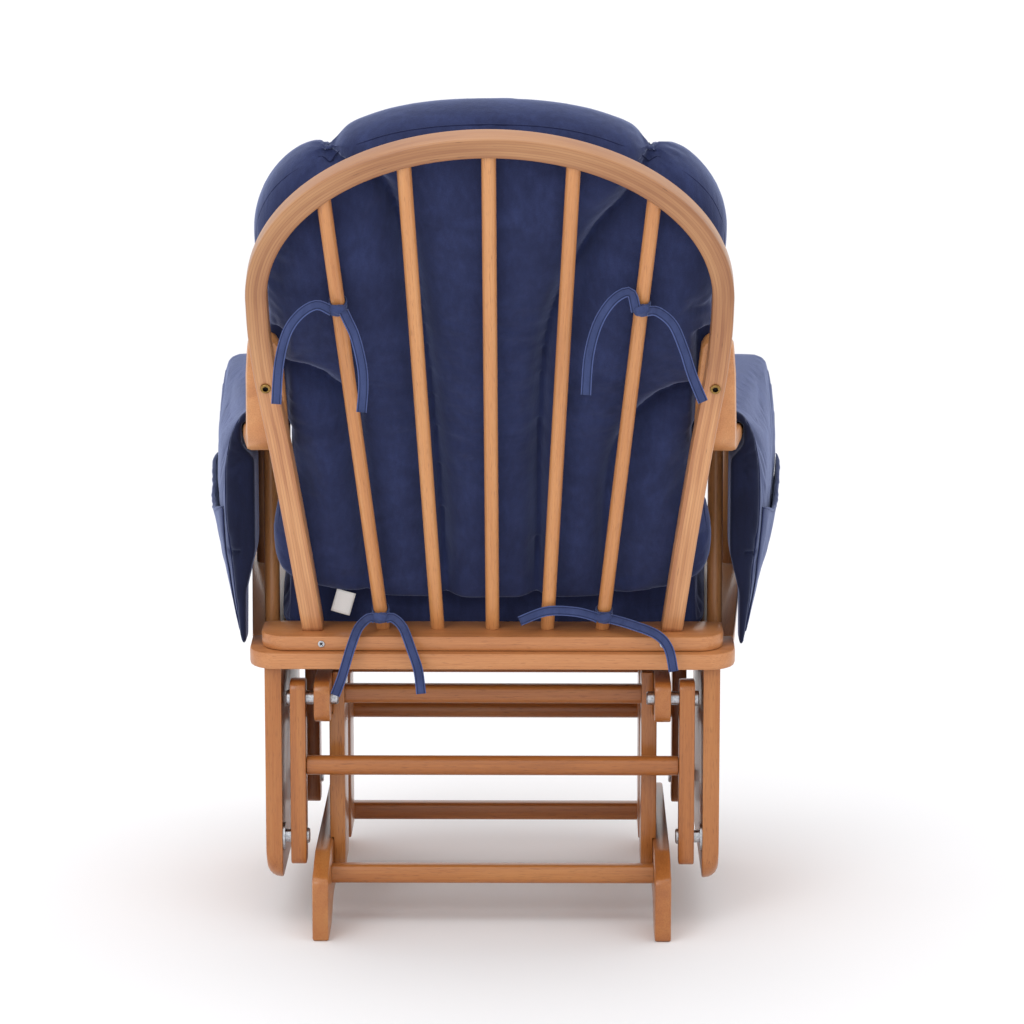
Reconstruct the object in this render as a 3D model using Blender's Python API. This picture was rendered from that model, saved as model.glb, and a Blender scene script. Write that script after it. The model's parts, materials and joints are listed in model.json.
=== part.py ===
"""Hoop-back nursery glider: sled base, four hanging swing arms, seat, hoop back, arms and cushions.

Metres. +Z is up, the chair faces -Y, the floor is z = 0 and x = 0 is the plane of symmetry.
The seat hangs from the base on four equal upright swing arms, so it glides without tipping.
Suffix _left is the +X side and _right the -X side.
"""

import bpy
import bmesh
from math import atan2, cos, pi, radians, sin, tan
from mathutils import Matrix, Vector

# ---------------------------------------------------------------- driving dimensions

GAP = 0.0003                 # joint-line clearance left between any two touching pieces
PIN_GAP = 0.0003             # radial clearance of a turning pin in its hole

# sled base
BASE_HALF_OUT = 0.208        # outer face of the runners and of the top rails
BASE_THICK = 0.019
RUNNER_HALF_LENGTH = 0.235
RUNNER_TOP = 0.092
RUNNER_TOE = 0.074           # height of the blunt runner ends
RUNNER_FOOT = 0.070          # length of each floor pad
RUNNER_ARCH = 0.024          # height of the relief between the pads
RAIL_HALF_LENGTH = 0.172
RAIL_LOW = 0.243
RAIL_HIGH = 0.293
UPRIGHT_THICK = 0.018
UPRIGHT_TONGUE = 0.0137      # part of the upright that laps inside rail and runner
UPRIGHT_NEAR = 0.032
UPRIGHT_FAR = 0.112
UPRIGHT_LOW = 0.055
STRETCHER = 0.022
FLOOR_STRETCHER_Y = 0.150
FLOOR_STRETCHER_Z = 0.060
UPPER_STRETCHER_Y = 0.085
UPPER_STRETCHER_Z = 0.262

# hanging swing arms
PIVOT_Y = 0.150
PIVOT_HIGH = 0.271
PIVOT_LOW = 0.105
SWING_THICK = 0.018
SWING_WIDTH = 0.036
SWING_OFFSET = 0.010         # free space between top rail and swing arm
SWING_BAR_RADIUS = 0.0115
SWING_BAR_DROP = 0.081
PIN_RADIUS = 0.005
THREAD_RADIUS = 0.004
PIN_SIDES = 16               # facets round pins and their holes
HEAD_RADIUS = 0.009

# side panels that hang from the seat
PANEL_OFFSET = 0.010         # free space between swing arm and panel
PANEL_THICK = 0.019
PANEL_LOW = 0.053
PANEL_REAR = 0.168
PANEL_FRONT = -0.190
PLATE_RADIUS = 0.016
PLATE_THICK = 0.0025

# seat deck, tipped back
DECK_TILT = 5.0
DECK_REAR_Y = 0.185
DECK_REAR_Z = 0.331
DECK_THICK = 0.020
DECK_LENGTH = 0.505
DECK_HALF_REAR = BASE_HALF_OUT + 0.0745
DECK_HALF_FRONT = BASE_HALF_OUT + 0.100
REAR_BOARD_DEPTH = 0.076
FRONT_BOARD_DEPTH = 0.070
SIDE_BOARD_WIDTH = 0.058
SLAT_WIDTH = 0.062
SLAT_PLACES = (0.165, 0.300)

# hoop back
BACK_TILT = 25.0
BACK_RAIL_HALF = BASE_HALF_OUT + 0.061
BACK_RAIL_DEPTH = 0.066
BACK_RAIL_THICK = 0.018
BACK_RAIL_SETBACK = 0.008
HOOP_FOOT_Y = 0.1564
HOOP_FOOT_Z = 0.3495
HOOP_WIDTH = 0.024
HOOP_DEPTH = 0.026
HOOP_LEG = ((BASE_HALF_OUT + 0.001, 0.0), (BASE_HALF_OUT + 0.013, 0.110), (BASE_HALF_OUT + 0.0285, 0.240),
            (BASE_HALF_OUT + 0.038, 0.310), (BASE_HALF_OUT + 0.044, 0.355), (BASE_HALF_OUT + 0.0485, 0.410))
HOOP_SPRING = 0.455          # height up the back where the arch begins
HOOP_HALF = BASE_HALF_OUT + 0.0495
HOOP_RISE = 0.193
SPINDLE_RADIUS = 0.008
SPINDLE_FEET = (0.128, 0.064, 0.0, -0.064, -0.128)
SPINDLE_SPREAD = 1.42        # top spacing over foot spacing
HOOP_BOLT_X = BASE_HALF_OUT + 0.043
HOOP_BOLT_UP = 0.341
HOOP_BOLT_RADIUS = 0.006
RAIL_SCREW_X = BASE_HALF_OUT - 0.010

# arms
ARM_THICK = 0.022
ARM_LEVEL = 0.582            # arm centre height at the bend
ARM_RISE = 1.0
ARM_BEND_RADIUS = 0.045
ARM_FRONT_Y = -0.290
ARM_TONGUE_TOP = 0.385       # height up the back of the end of the arm tongue
ARM_REAR_X = BASE_HALF_OUT + 0.046
ARM_FRONT_X = BASE_HALF_OUT + 0.092
ARM_TONGUE_WIDTH = 0.038
ARM_REAR_WIDTH = 0.051
ARM_FRONT_WIDTH = 0.072
POST_RADIUS = 0.009
REAR_POST = (BASE_HALF_OUT + 0.053, 0.077)
FRONT_POST = (BASE_HALF_OUT + 0.082, -0.205)

# soft parts
SEAT_CUSHION_HIGH = 0.086
SEAT_CUSHION_REAR = 0.066
SEAT_CUSHION_FRONT = 0.500
SEAT_CUSHION_HALF_REAR = BASE_HALF_OUT + 0.0405
SEAT_CUSHION_HALF_FRONT = BASE_HALF_OUT + 0.058
BACK_CUSHION_THICK = 0.120
BACK_CUSHION_STANDOFF = 0.004
# up the back, then how far the cushion's edge lies beyond the outer face of the base
BACK_CUSHION_EDGE = ((0.045, 0.002), (0.075, 0.022), (0.125, 0.026), (0.185, 0.011), (0.250, -0.002),
                     (0.330, 0.002), (0.400, 0.018), (0.450, 0.042), (0.500, 0.058), (0.545, 0.050),
                     (0.600, 0.014), (0.645, -0.043))
BACK_CUSHION_TOP = 0.667
PAD_THICK = 0.017
PAD_REAR_Y = 0.150
PAD_FRONT_Y = -0.272
PAD_FLAP_LOW = 0.332
PAD_LIP = 0.026
PAD_CLEAR = 0.0015
PAD_BULGE_REAR = 0.0225       # how far the flap swells beyond the arm edge, rear end and front end
PAD_BULGE_FRONT = 0.0160
PAD_POST_GAP = 0.0045
TIE_WIDTH = 0.010
TIE_THICK = 0.0014
LABEL_WIDTH = 0.023
LABEL_HIGH = 0.027
LABEL_THICK = 0.0006

UP = Vector((0.0, 0.0, 1.0))
ACROSS = Vector((1.0, 0.0, 0.0))
REARWARD = Vector((0.0, 1.0, 0.0))
HONEY = (0.60, 0.30, 0.10)
NAVY = (0.015, 0.022, 0.075)
STEEL = (0.55, 0.55, 0.57)
BRASS = (0.62, 0.45, 0.18)
WHITE = (0.85, 0.85, 0.82)

ROOT = Vector((0.0, 0.0, 0.0))
REAR_TOP_AXIS = Vector((0.0, PIVOT_Y, PIVOT_HIGH))
FRONT_TOP_AXIS = Vector((0.0, -PIVOT_Y, PIVOT_HIGH))
SEAT_AXIS = Vector((0.0, PIVOT_Y, PIVOT_LOW))

RAIL_IN = BASE_HALF_OUT - BASE_THICK
SWING_IN = BASE_HALF_OUT + SWING_OFFSET
SWING_OUT = SWING_IN + SWING_THICK
PANEL_IN = SWING_OUT + PANEL_OFFSET

SIDES = (("left", 1.0), ("right", -1.0))
ENDS = (("rear", 1.0), ("front", -1.0))


# ---------------------------------------------------------------- shared helpers

def clear_scene():
    for obj in list(bpy.data.objects):
        bpy.data.objects.remove(obj, do_unlink=True)


def make_material(name, colour, roughness, metallic):
    material = bpy.data.materials.new(name + "_finish")
    material.use_nodes = True
    shader = material.node_tree.nodes["Principled BSDF"]
    shader.inputs["Base Color"].default_value = (*colour, 1.0)
    shader.inputs["Roughness"].default_value = roughness
    shader.inputs["Metallic"].default_value = metallic
    return material


def finish(name, bm, colour, origin, bevel=0.0, roughness=0.35, metallic=0.0, outline_only=False):
    """Turn a closed bmesh in world coordinates into a named object whose origin is given."""
    bmesh.ops.recalc_face_normals(bm, faces=bm.faces)
    bmesh.ops.translate(bm, vec=-origin, verts=bm.verts)
    mesh = bpy.data.meshes.new(name)
    bm.to_mesh(mesh)
    bm.free()
    obj = bpy.data.objects.new(name, mesh)
    obj.location = origin
    bpy.context.scene.collection.objects.link(obj)
    mesh.materials.append(make_material(name, colour, roughness, metallic))
    if bevel > 0.0:
        edge = obj.modifiers.new("edge_rounding", "BEVEL")
        edge.width = bevel
        edge.segments = 2
        edge.limit_method = "WEIGHT" if outline_only else "ANGLE"
        edge.angle_limit = radians(40.0)
    return obj


def frame(origin, first, second, third):
    """Matrix that carries local x, y, z onto three world directions."""
    matrix = Matrix((first, second, third)).transposed().to_4x4()
    matrix.translation = origin
    return matrix


def side_frame(x_low, side):
    """Local x runs along world Y, local y along world Z, thickness outwards along X."""
    return frame(Vector((side * x_low, 0.0, 0.0)), REARWARD, UP, ACROSS * side)


def circle_points(u, v, radius, count):
    return [(u + radius * cos(2 * pi * i / count), v + radius * sin(2 * pi * i / count)) for i in range(count)]


def rounded(points, radii, steps=4):
    """Replace each corner of a convex or concave outline with an arc of the given radius."""
    out = []
    count = len(points)
    for i in range(count):
        here = Vector(points[i])
        radius = radii[i]
        if radius <= 0.0:
            out.append(tuple(here))
            continue
        before = (Vector(points[i - 1]) - here).normalized()
        after = (Vector(points[(i + 1) % count]) - here).normalized()
        half = before.angle(after) / 2
        reach = radius / tan(half)
        centre = here + (before + after).normalized() * (radius / sin(half))
        start = here + before * reach - centre
        stop = here + after * reach - centre
        a0 = atan2(start.y, start.x)
        a1 = atan2(stop.y, stop.x)
        turn = (a1 - a0 + pi) % (2 * pi) - pi
        for k in range(steps + 1):
            angle = a0 + turn * k / steps
            out.append((centre.x + radius * cos(angle), centre.y + radius * sin(angle)))
    return out


def slab(outline, thickness, matrix, holes=()):
    """Flat board: an outline with round holes, extruded along local z.

    On a board with holes only the outline is marked for edge rounding, so the holes stay crisp.
    """
    bm = bmesh.new()
    loops = [outline] + [circle_points(u, v, r, PIN_SIDES) for u, v, r in holes]
    weight = bm.edges.layers.float.new("bevel_weight_edge")
    edges = []
    for loop in loops:
        verts = [bm.verts.new((p[0], p[1], 0.0)) for p in loop]
        for i in range(len(verts)):
            edge = bm.edges.new((verts[i - 1], verts[i]))
            edge[weight] = 1.0 if loop is outline and holes else 0.0
            edges.append(edge)
    bmesh.ops.triangle_fill(bm, use_beauty=True, use_dissolve=False, edges=edges)
    bmesh.ops.dissolve_limit(bm, angle_limit=radians(1.0), verts=bm.verts, edges=bm.edges)
    top = bmesh.ops.extrude_face_region(bm, geom=list(bm.faces))
    moved = [item for item in top["geom"] if isinstance(item, bmesh.types.BMVert)]
    bmesh.ops.translate(bm, vec=(0.0, 0.0, thickness), verts=moved)
    bmesh.ops.transform(bm, matrix=matrix, verts=bm.verts)
    return bm


def skin(rings, first_tip=None, last_tip=None):
    """Closed body over rings of equal count; each end closes flat or to a tip point."""
    bm = bmesh.new()
    rows = [[bm.verts.new(p) for p in ring] for ring in rings]
    count = len(rows[0])
    for low, high in zip(rows, rows[1:]):
        for i in range(count):
            bm.faces.new((low[i - 1], low[i], high[i], high[i - 1]))
    for row, tip in ((rows[0], first_tip), (rows[-1], last_tip)):
        if tip is None:
            bm.faces.new(row)
            continue
        apex = bm.verts.new(tip)
        for i in range(count):
            bm.faces.new((row[i - 1], row[i], apex))
    return bm


def box_section(width, depth, radius, steps=3):
    """Rounded rectangle centred on zero."""
    corners = ((width / 2, depth / 2), (-width / 2, depth / 2), (-width / 2, -depth / 2), (width / 2, -depth / 2))
    return rounded(corners, (radius,) * 4, steps)


def turned(profile, axis_point, direction, count=24):
    """Body of revolution; profile is (distance along direction, radius) pairs."""
    along = direction.normalized()
    side = along.orthogonal().normalized()
    other = along.cross(side)
    rings = []
    for distance, radius in profile:
        centre = axis_point + along * distance
        ring = []
        for i in range(count):
            angle = 2 * pi * i / count
            ring.append(centre + side * (radius * cos(angle)) + other * (radius * sin(angle)))
        rings.append(ring)
    return skin(rings)


def rod(start, stop, radius, low_end, high_end, count=20):
    """Dowel whose end faces follow the two end functions: (point, direction) -> distance from start."""
    along = (stop - start).normalized()
    side = along.cross(REARWARD).normalized()
    other = along.cross(side)
    offsets = []
    for i in range(count):
        angle = 2 * pi * i / count
        offsets.append(side * (radius * cos(angle)) + other * (radius * sin(angle)))
    rings = []
    for find in (low_end, high_end):
        rings.append([start + o + along * find(start + o, along) for o in offsets])
    tips = [start + along * find(start, along) for find in (low_end, high_end)]
    return skin(rings, tips[0], tips[1])


def plane_end(point, normal):
    """End function of a rod cut by a plane."""
    return lambda base, along: (point - base).dot(normal) / along.dot(normal)


# ---------------------------------------------------------------- seat deck frame

DECK_FORWARD = Vector((0.0, -cos(radians(DECK_TILT)), sin(radians(DECK_TILT))))
DECK_UP = Vector((0.0, sin(radians(DECK_TILT)), cos(radians(DECK_TILT))))
DECK_ORIGIN = Vector((0.0, DECK_REAR_Y, DECK_REAR_Z))


def deck(x, forward, high):
    return DECK_ORIGIN + ACROSS * x + DECK_FORWARD * forward + DECK_UP * high


def deck_frame(high):
    return frame(deck(0.0, 0.0, high), ACROSS, DECK_FORWARD, DECK_UP)


def deck_half(forward):
    """Outer half width of the deck at a distance forward of its rear edge."""
    front = DECK_LENGTH - FRONT_BOARD_DEPTH
    share = min(max((forward - REAR_BOARD_DEPTH) / (front - REAR_BOARD_DEPTH), 0.0), 1.0)
    return DECK_HALF_REAR + (DECK_HALF_FRONT - DECK_HALF_REAR) * share


# ---------------------------------------------------------------- back frame

BACK_UP = Vector((0.0, sin(radians(BACK_TILT)), cos(radians(BACK_TILT))))
BACK_FRONT = Vector((0.0, -cos(radians(BACK_TILT)), sin(radians(BACK_TILT))))
BACK_ORIGIN = Vector((0.0, HOOP_FOOT_Y, HOOP_FOOT_Z))


def back(x, up, front):
    """Point on the leaning back: across, up the back, forward of the hoop's rear face."""
    return BACK_ORIGIN + ACROSS * x + BACK_UP * up + BACK_FRONT * front


RAIL_TOP_POINT = deck(0.0, 0.0, GAP + BACK_RAIL_THICK + GAP)


# ---------------------------------------------------------------- sled base

def build_runner(label, side):
    length = RUNNER_HALF_LENGTH
    pad = length - RUNNER_FOOT
    points = ((-length, 0.0), (-pad, 0.0), (-pad + 0.045, RUNNER_ARCH), (pad - 0.045, RUNNER_ARCH),
              (pad, 0.0), (length, 0.0), (length, RUNNER_TOE), (pad, RUNNER_TOP), (-pad, RUNNER_TOP),
              (-length, RUNNER_TOE))
    radii = (0.004, 0.006, 0.040, 0.040, 0.006, 0.004, 0.010, 0.060, 0.060, 0.010)
    bm = slab(rounded(points, radii, 3), BASE_THICK, side_frame(RAIL_IN, side))
    finish("runner_" + label, bm, HONEY, ROOT, bevel=0.0025)


def build_top_rail(label, side):
    length = RAIL_HALF_LENGTH
    points = ((-length, RAIL_LOW), (length, RAIL_LOW), (length, RAIL_HIGH), (-length, RAIL_HIGH))
    outline = rounded(points, (0.020, 0.020, 0.012, 0.012), 4)
    hole = THREAD_RADIUS + PIN_GAP
    holes = [(end * PIVOT_Y, PIVOT_HIGH, hole) for _, end in ENDS]
    bm = slab(outline, BASE_THICK, side_frame(RAIL_IN, side), holes)
    finish("top_rail_" + label, bm, HONEY, ROOT, bevel=0.0018, outline_only=True)


def build_upright(end_label, end, label, side):
    """Upright with a rabbet at each end: a tongue laps inside the runner and the top rail."""
    tongue = RAIL_IN - GAP
    inner = tongue - UPRIGHT_TONGUE
    outer = inner + UPRIGHT_THICK
    low = RUNNER_TOP + GAP
    high = RAIL_LOW - GAP
    outline = [(inner, UPRIGHT_LOW), (tongue, UPRIGHT_LOW), (tongue, low), (outer, low), (outer, high),
               (tongue, high), (tongue, RAIL_HIGH), (inner, RAIL_HIGH)]
    start = min(end * UPRIGHT_NEAR, end * UPRIGHT_FAR)
    placed = frame(Vector((0.0, start, 0.0)), ACROSS * side, UP, REARWARD)
    bm = slab(outline, UPRIGHT_FAR - UPRIGHT_NEAR, placed)
    finish("upright_" + end_label + "_" + label, bm, HONEY, ROOT, bevel=0.0012)


def build_stretcher(name, half, y, z):
    section = box_section(STRETCHER, STRETCHER, 0.006)
    rings = []
    for x in (-half + GAP, half - GAP):
        rings.append([Vector((x, y + u, z + v)) for u, v in section])
    finish(name, skin(rings), HONEY, ROOT)


def build_base():
    for label, side in SIDES:
        build_runner(label, side)
        build_top_rail(label, side)
        for end_label, end in ENDS:
            build_upright(end_label, end, label, side)
    upright_in = RAIL_IN - GAP - UPRIGHT_TONGUE
    for end_label, end in ENDS:
        build_stretcher("floor_stretcher_" + end_label, RAIL_IN, end * FLOOR_STRETCHER_Y, FLOOR_STRETCHER_Z)
        build_stretcher("upper_stretcher_" + end_label, upright_in, end * UPPER_STRETCHER_Y, UPPER_STRETCHER_Z)


# ---------------------------------------------------------------- swing arms and their pins

def build_swing_arm(end_label, end, label, side, origin):
    half = SWING_WIDTH / 2
    low = PIVOT_LOW - 0.032
    high = PIVOT_HIGH + 0.022
    y = end * PIVOT_Y
    points = ((y - half, low), (y + half, low), (y + half, high), (y - half, high))
    outline = rounded(points, (0.010,) * 4, 3)
    hole = PIN_RADIUS + PIN_GAP
    holes = ((y, PIVOT_LOW, hole), (y, PIVOT_HIGH, hole))
    bm = slab(outline, SWING_THICK, side_frame(SWING_IN, side), holes)
    finish("swing_arm_" + end_label + "_" + label, bm, HONEY, origin, bevel=0.0018, outline_only=True)


def build_swing_bar(end_label, end, origin):
    centre = Vector((0.0, end * PIVOT_Y, PIVOT_HIGH - SWING_BAR_DROP))
    half = SWING_IN - GAP
    r = SWING_BAR_RADIUS
    bm = turned([(-half, r - 0.001), (-half + 0.001, r), (half - 0.001, r), (half, r - 0.001)], centre, ACROSS)
    finish("swing_bar_" + end_label, bm, HONEY, origin)


def build_upper_pivot(end_label, end, label, side):
    """Shoulder bolt: nut inside the rail, spacer collar, journal for the arm, low head outside."""
    nut_in = RAIL_IN - GAP - 0.009
    profile = [(nut_in, 0.0065), (nut_in + 0.0015, 0.008), (RAIL_IN - GAP, 0.008),
               (RAIL_IN - GAP, THREAD_RADIUS), (BASE_HALF_OUT + GAP, THREAD_RADIUS),
               (BASE_HALF_OUT + GAP, 0.008), (SWING_IN - GAP, 0.008),
               (SWING_IN - GAP, PIN_RADIUS), (SWING_OUT + GAP, PIN_RADIUS),
               (SWING_OUT + GAP, HEAD_RADIUS), (SWING_OUT + 0.004, HEAD_RADIUS), (SWING_OUT + 0.005, 0.0075)]
    point = Vector((0.0, end * PIVOT_Y, PIVOT_HIGH))
    bm = turned(profile, point, ACROSS * side, PIN_SIDES)
    finish("upper_pivot_" + end_label + "_" + label, bm, STEEL, ROOT, roughness=0.3, metallic=1.0)


def build_lower_pivot(end_label, end, label, side):
    """Pivot plate on the panel with its fixed stud, collar and retaining cap."""
    cap = SWING_IN - GAP - 0.0032
    profile = [(cap, 0.0070), (cap + 0.001, HEAD_RADIUS), (SWING_IN - GAP, HEAD_RADIUS),
               (SWING_IN - GAP, PIN_RADIUS), (SWING_OUT + GAP, PIN_RADIUS),
               (SWING_OUT + GAP, 0.0075), (PANEL_IN - GAP - PLATE_THICK, 0.0075),
               (PANEL_IN - GAP - PLATE_THICK, PLATE_RADIUS), (PANEL_IN - GAP, PLATE_RADIUS)]
    point = Vector((0.0, end * PIVOT_Y, PIVOT_LOW))
    bm = turned(profile, point, ACROSS * side, PIN_SIDES)
    finish("lower_pivot_" + end_label + "_" + label, bm, STEEL, SEAT_AXIS, roughness=0.3, metallic=1.0)


def build_swings():
    for end_label, end in ENDS:
        origin = REAR_TOP_AXIS if end > 0 else FRONT_TOP_AXIS
        build_swing_bar(end_label, end, origin)
        for label, side in SIDES:
            build_swing_arm(end_label, end, label, side, origin)
            build_upper_pivot(end_label, end, label, side)
            build_lower_pivot(end_label, end, label, side)


# ---------------------------------------------------------------- seat deck and side panels

def build_panel(label, side):
    """Side panel under the seat with a wide rounding along its lower outer edge."""
    def top_z(y):
        forward = (DECK_REAR_Y - y) / cos(radians(DECK_TILT))
        return DECK_REAR_Z + forward * sin(radians(DECK_TILT)) - (DECK_THICK + GAP) / cos(radians(DECK_TILT))

    section = rounded(((0.0, 0.0), (PANEL_THICK, 0.0), (PANEL_THICK, 1.0), (0.0, 1.0)), (0.002, 0.016, 0.0, 0.0), 5)
    stations = [(PANEL_REAR, 0.030)]
    for k in range(1, 7):
        angle = pi / 2 * k / 6
        stations.append((PANEL_REAR - 0.030 * (1 - cos(angle)), 0.030 * (1 - sin(angle))))
    for y, lift in list(reversed(stations)):
        stations.append((PANEL_FRONT + PANEL_REAR - y, lift))
    rings = []
    for y, lift in stations:
        low = PANEL_LOW + lift
        ring = []
        for u, v in section:
            z = top_z(y) if v > 0.5 else low + v
            ring.append(Vector((side * (PANEL_IN + u), y, z)))
        rings.append(ring)
    finish("side_panel_" + label, skin(rings), HONEY, SEAT_AXIS, bevel=0.0015)


def build_deck():
    rear = DECK_HALF_REAR
    front = DECK_HALF_FRONT
    front_start = DECK_LENGTH - FRONT_BOARD_DEPTH
    low = deck_frame(-DECK_THICK)
    corners = ((-rear, 0.0), (rear, 0.0), (rear, REAR_BOARD_DEPTH - GAP), (-rear, REAR_BOARD_DEPTH - GAP))
    bm = slab(rounded(corners, (0.030, 0.030, 0.0, 0.0), 5), DECK_THICK, low)
    finish("seat_rear_board", bm, HONEY, SEAT_AXIS, bevel=0.003)
    corners = ((-front, front_start + GAP), (front, front_start + GAP), (front, DECK_LENGTH), (-front, DECK_LENGTH))
    bm = slab(rounded(corners, (0.0, 0.0, 0.035, 0.035), 5), DECK_THICK, low)
    finish("seat_front_board", bm, HONEY, SEAT_AXIS, bevel=0.003)
    for label, side in SIDES:
        outline = ((side * deck_half(REAR_BOARD_DEPTH), REAR_BOARD_DEPTH),
                   (side * deck_half(front_start), front_start),
                   (side * (deck_half(front_start) - SIDE_BOARD_WIDTH), front_start),
                   (side * (deck_half(REAR_BOARD_DEPTH) - SIDE_BOARD_WIDTH), REAR_BOARD_DEPTH))
        finish("seat_side_board_" + label, slab(outline, DECK_THICK, low), HONEY, SEAT_AXIS, bevel=0.002)
    for number, place in enumerate(SLAT_PLACES, 1):
        near = deck_half(place) - SIDE_BOARD_WIDTH - GAP
        far = deck_half(place + SLAT_WIDTH) - SIDE_BOARD_WIDTH - GAP
        outline = ((-near, place), (near, place), (far, place + SLAT_WIDTH), (-far, place + SLAT_WIDTH))
        finish("seat_slat_" + str(number), slab(outline, DECK_THICK, low), HONEY, SEAT_AXIS, bevel=0.002)


# ---------------------------------------------------------------- hoop, rail and spindles

def smooth_path(points, per_span):
    """Points of a smooth curve through the given ones."""
    out = []
    vectors = [Vector(p) for p in points]
    for i in range(len(vectors) - 1):
        p0 = vectors[max(i - 1, 0)]
        p1 = vectors[i]
        p2 = vectors[i + 1]
        p3 = vectors[min(i + 2, len(vectors) - 1)]
        for k in range(per_span):
            t = k / per_span
            out.append(0.5 * (2 * p1 + (p2 - p0) * t + (2 * p0 - 5 * p1 + 4 * p2 - p3) * t ** 2
                              + (3 * p1 - p0 - 3 * p2 + p3) * t ** 3))
    out.append(vectors[-1])
    return out


def hoop_half_path():
    """Centre line of one half of the hoop, foot to crown, as (across, up)."""
    leg = smooth_path(list(HOOP_LEG) + [(HOOP_HALF, HOOP_SPRING)], 2)
    arch = []
    for k in range(1, 14):
        angle = pi / 2 * k / 13
        arch.append(Vector((HOOP_HALF * cos(angle), HOOP_SPRING + HOOP_RISE * sin(angle))))
    return leg + arch


def build_hoop():
    half = hoop_half_path()
    path = half + [Vector((-p.x, p.y)) for p in reversed(half[:-1])]
    section = box_section(HOOP_WIDTH, HOOP_DEPTH, 0.004, 2)
    rings = []
    for i, p in enumerate(path):
        before = path[max(i - 1, 0)]
        after = path[min(i + 1, len(path) - 1)]
        along = (after - before).normalized()
        outward = Vector((along.y, -along.x))
        ring = []
        for u, v in section:
            ring.append(back(p.x + outward.x * u, p.y + outward.y * u, HOOP_DEPTH / 2 + v))
        rings.append(ring)
    for ring, inner in ((rings[0], rings[1]), (rings[-1], rings[-2])):
        for i in range(len(ring)):
            along = (ring[i] - inner[i]).normalized()
            ring[i] = inner[i] + along * plane_end(RAIL_TOP_POINT, DECK_UP)(inner[i], along)
    finish("hoop", skin(rings), HONEY, SEAT_AXIS)


def hoop_inside(base, along):
    """Distance along a spindle line to the inner face of the arch."""
    local = base - BACK_ORIGIN
    x0 = local.dot(ACROSS)
    u0 = local.dot(BACK_UP)
    dx = along.dot(ACROSS)
    du = along.dot(BACK_UP)
    a = HOOP_HALF - HOOP_WIDTH / 2 - GAP
    b = HOOP_RISE - HOOP_WIDTH / 2 - GAP
    near = 0.45
    far = 0.75
    for _ in range(40):
        mid = (near + far) / 2
        inside = ((x0 + dx * mid) / a) ** 2 + (max(u0 + du * mid - HOOP_SPRING, 0.0) / b) ** 2
        if inside < 1.0:
            near = mid
        else:
            far = mid
    return near - 0.0006


def build_spindles():
    low = plane_end(RAIL_TOP_POINT, DECK_UP)
    for number, foot in enumerate(SPINDLE_FEET, 1):
        start = back(foot, 0.0, HOOP_DEPTH / 2)
        stop = back(foot * SPINDLE_SPREAD, 0.60, HOOP_DEPTH / 2)
        bm = rod(start, stop, SPINDLE_RADIUS, low, hoop_inside)
        finish("spindle_" + str(number), bm, HONEY, SEAT_AXIS)


def build_back_rail():
    half = BACK_RAIL_HALF
    near = BACK_RAIL_SETBACK
    far = near + BACK_RAIL_DEPTH
    corners = ((-half, near), (half, near), (half, far), (-half, far))
    bm = slab(rounded(corners, (0.030, 0.030, 0.008, 0.008), 5), BACK_RAIL_THICK, deck_frame(GAP))
    finish("back_rail", bm, HONEY, SEAT_AXIS, bevel=0.003)


def button(name, point, direction, radius, high, colour, origin, metallic=1.0):
    profile = [(0.0, radius), (high * 0.6, radius), (high, radius * 0.75)]
    finish(name, turned(profile, point, direction, 18), colour, origin, roughness=0.3, metallic=metallic)


def build_back():
    build_back_rail()
    build_hoop()
    build_spindles()
    for label, side in SIDES:
        point = back(side * HOOP_BOLT_X, HOOP_BOLT_UP, -GAP)
        button("hoop_bolt_" + label, point, -BACK_FRONT, HOOP_BOLT_RADIUS, 0.003, BRASS, SEAT_AXIS)
        point = deck(side * RAIL_SCREW_X, BACK_RAIL_SETBACK - GAP, GAP + BACK_RAIL_THICK / 2)
        button("rail_screw_" + label, point, -DECK_FORWARD, 0.004, 0.0016, STEEL, SEAT_AXIS)


# ---------------------------------------------------------------- arms and posts

ARM_FORWARD = Vector((0.0, -cos(radians(ARM_RISE)), sin(radians(ARM_RISE))))
ARM_UP = Vector((0.0, sin(radians(ARM_RISE)), cos(radians(ARM_RISE))))


def arm_corner():
    """Where the tongue line and the arm line would meet, in the YZ plane."""
    tongue = back(0.0, 0.0, HOOP_DEPTH + GAP + ARM_THICK / 2)
    level = Vector((0.0, 0.25, ARM_LEVEL))
    travel = (level - tongue).dot(ARM_UP) / BACK_UP.dot(ARM_UP)
    return tongue + BACK_UP * travel


def arm_x(y):
    """Centre of the arm across the chair at a depth y."""
    share = min(max((PIVOT_Y + 0.07 - y) / (PIVOT_Y + 0.07 - ARM_FRONT_Y), 0.0), 1.0)
    return ARM_REAR_X + (ARM_FRONT_X - ARM_REAR_X) * share


def arm_width(y):
    share = min(max((0.22 - y) / 0.40, 0.0), 1.0)
    return ARM_REAR_WIDTH + (ARM_FRONT_WIDTH - ARM_REAR_WIDTH) * share


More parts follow.
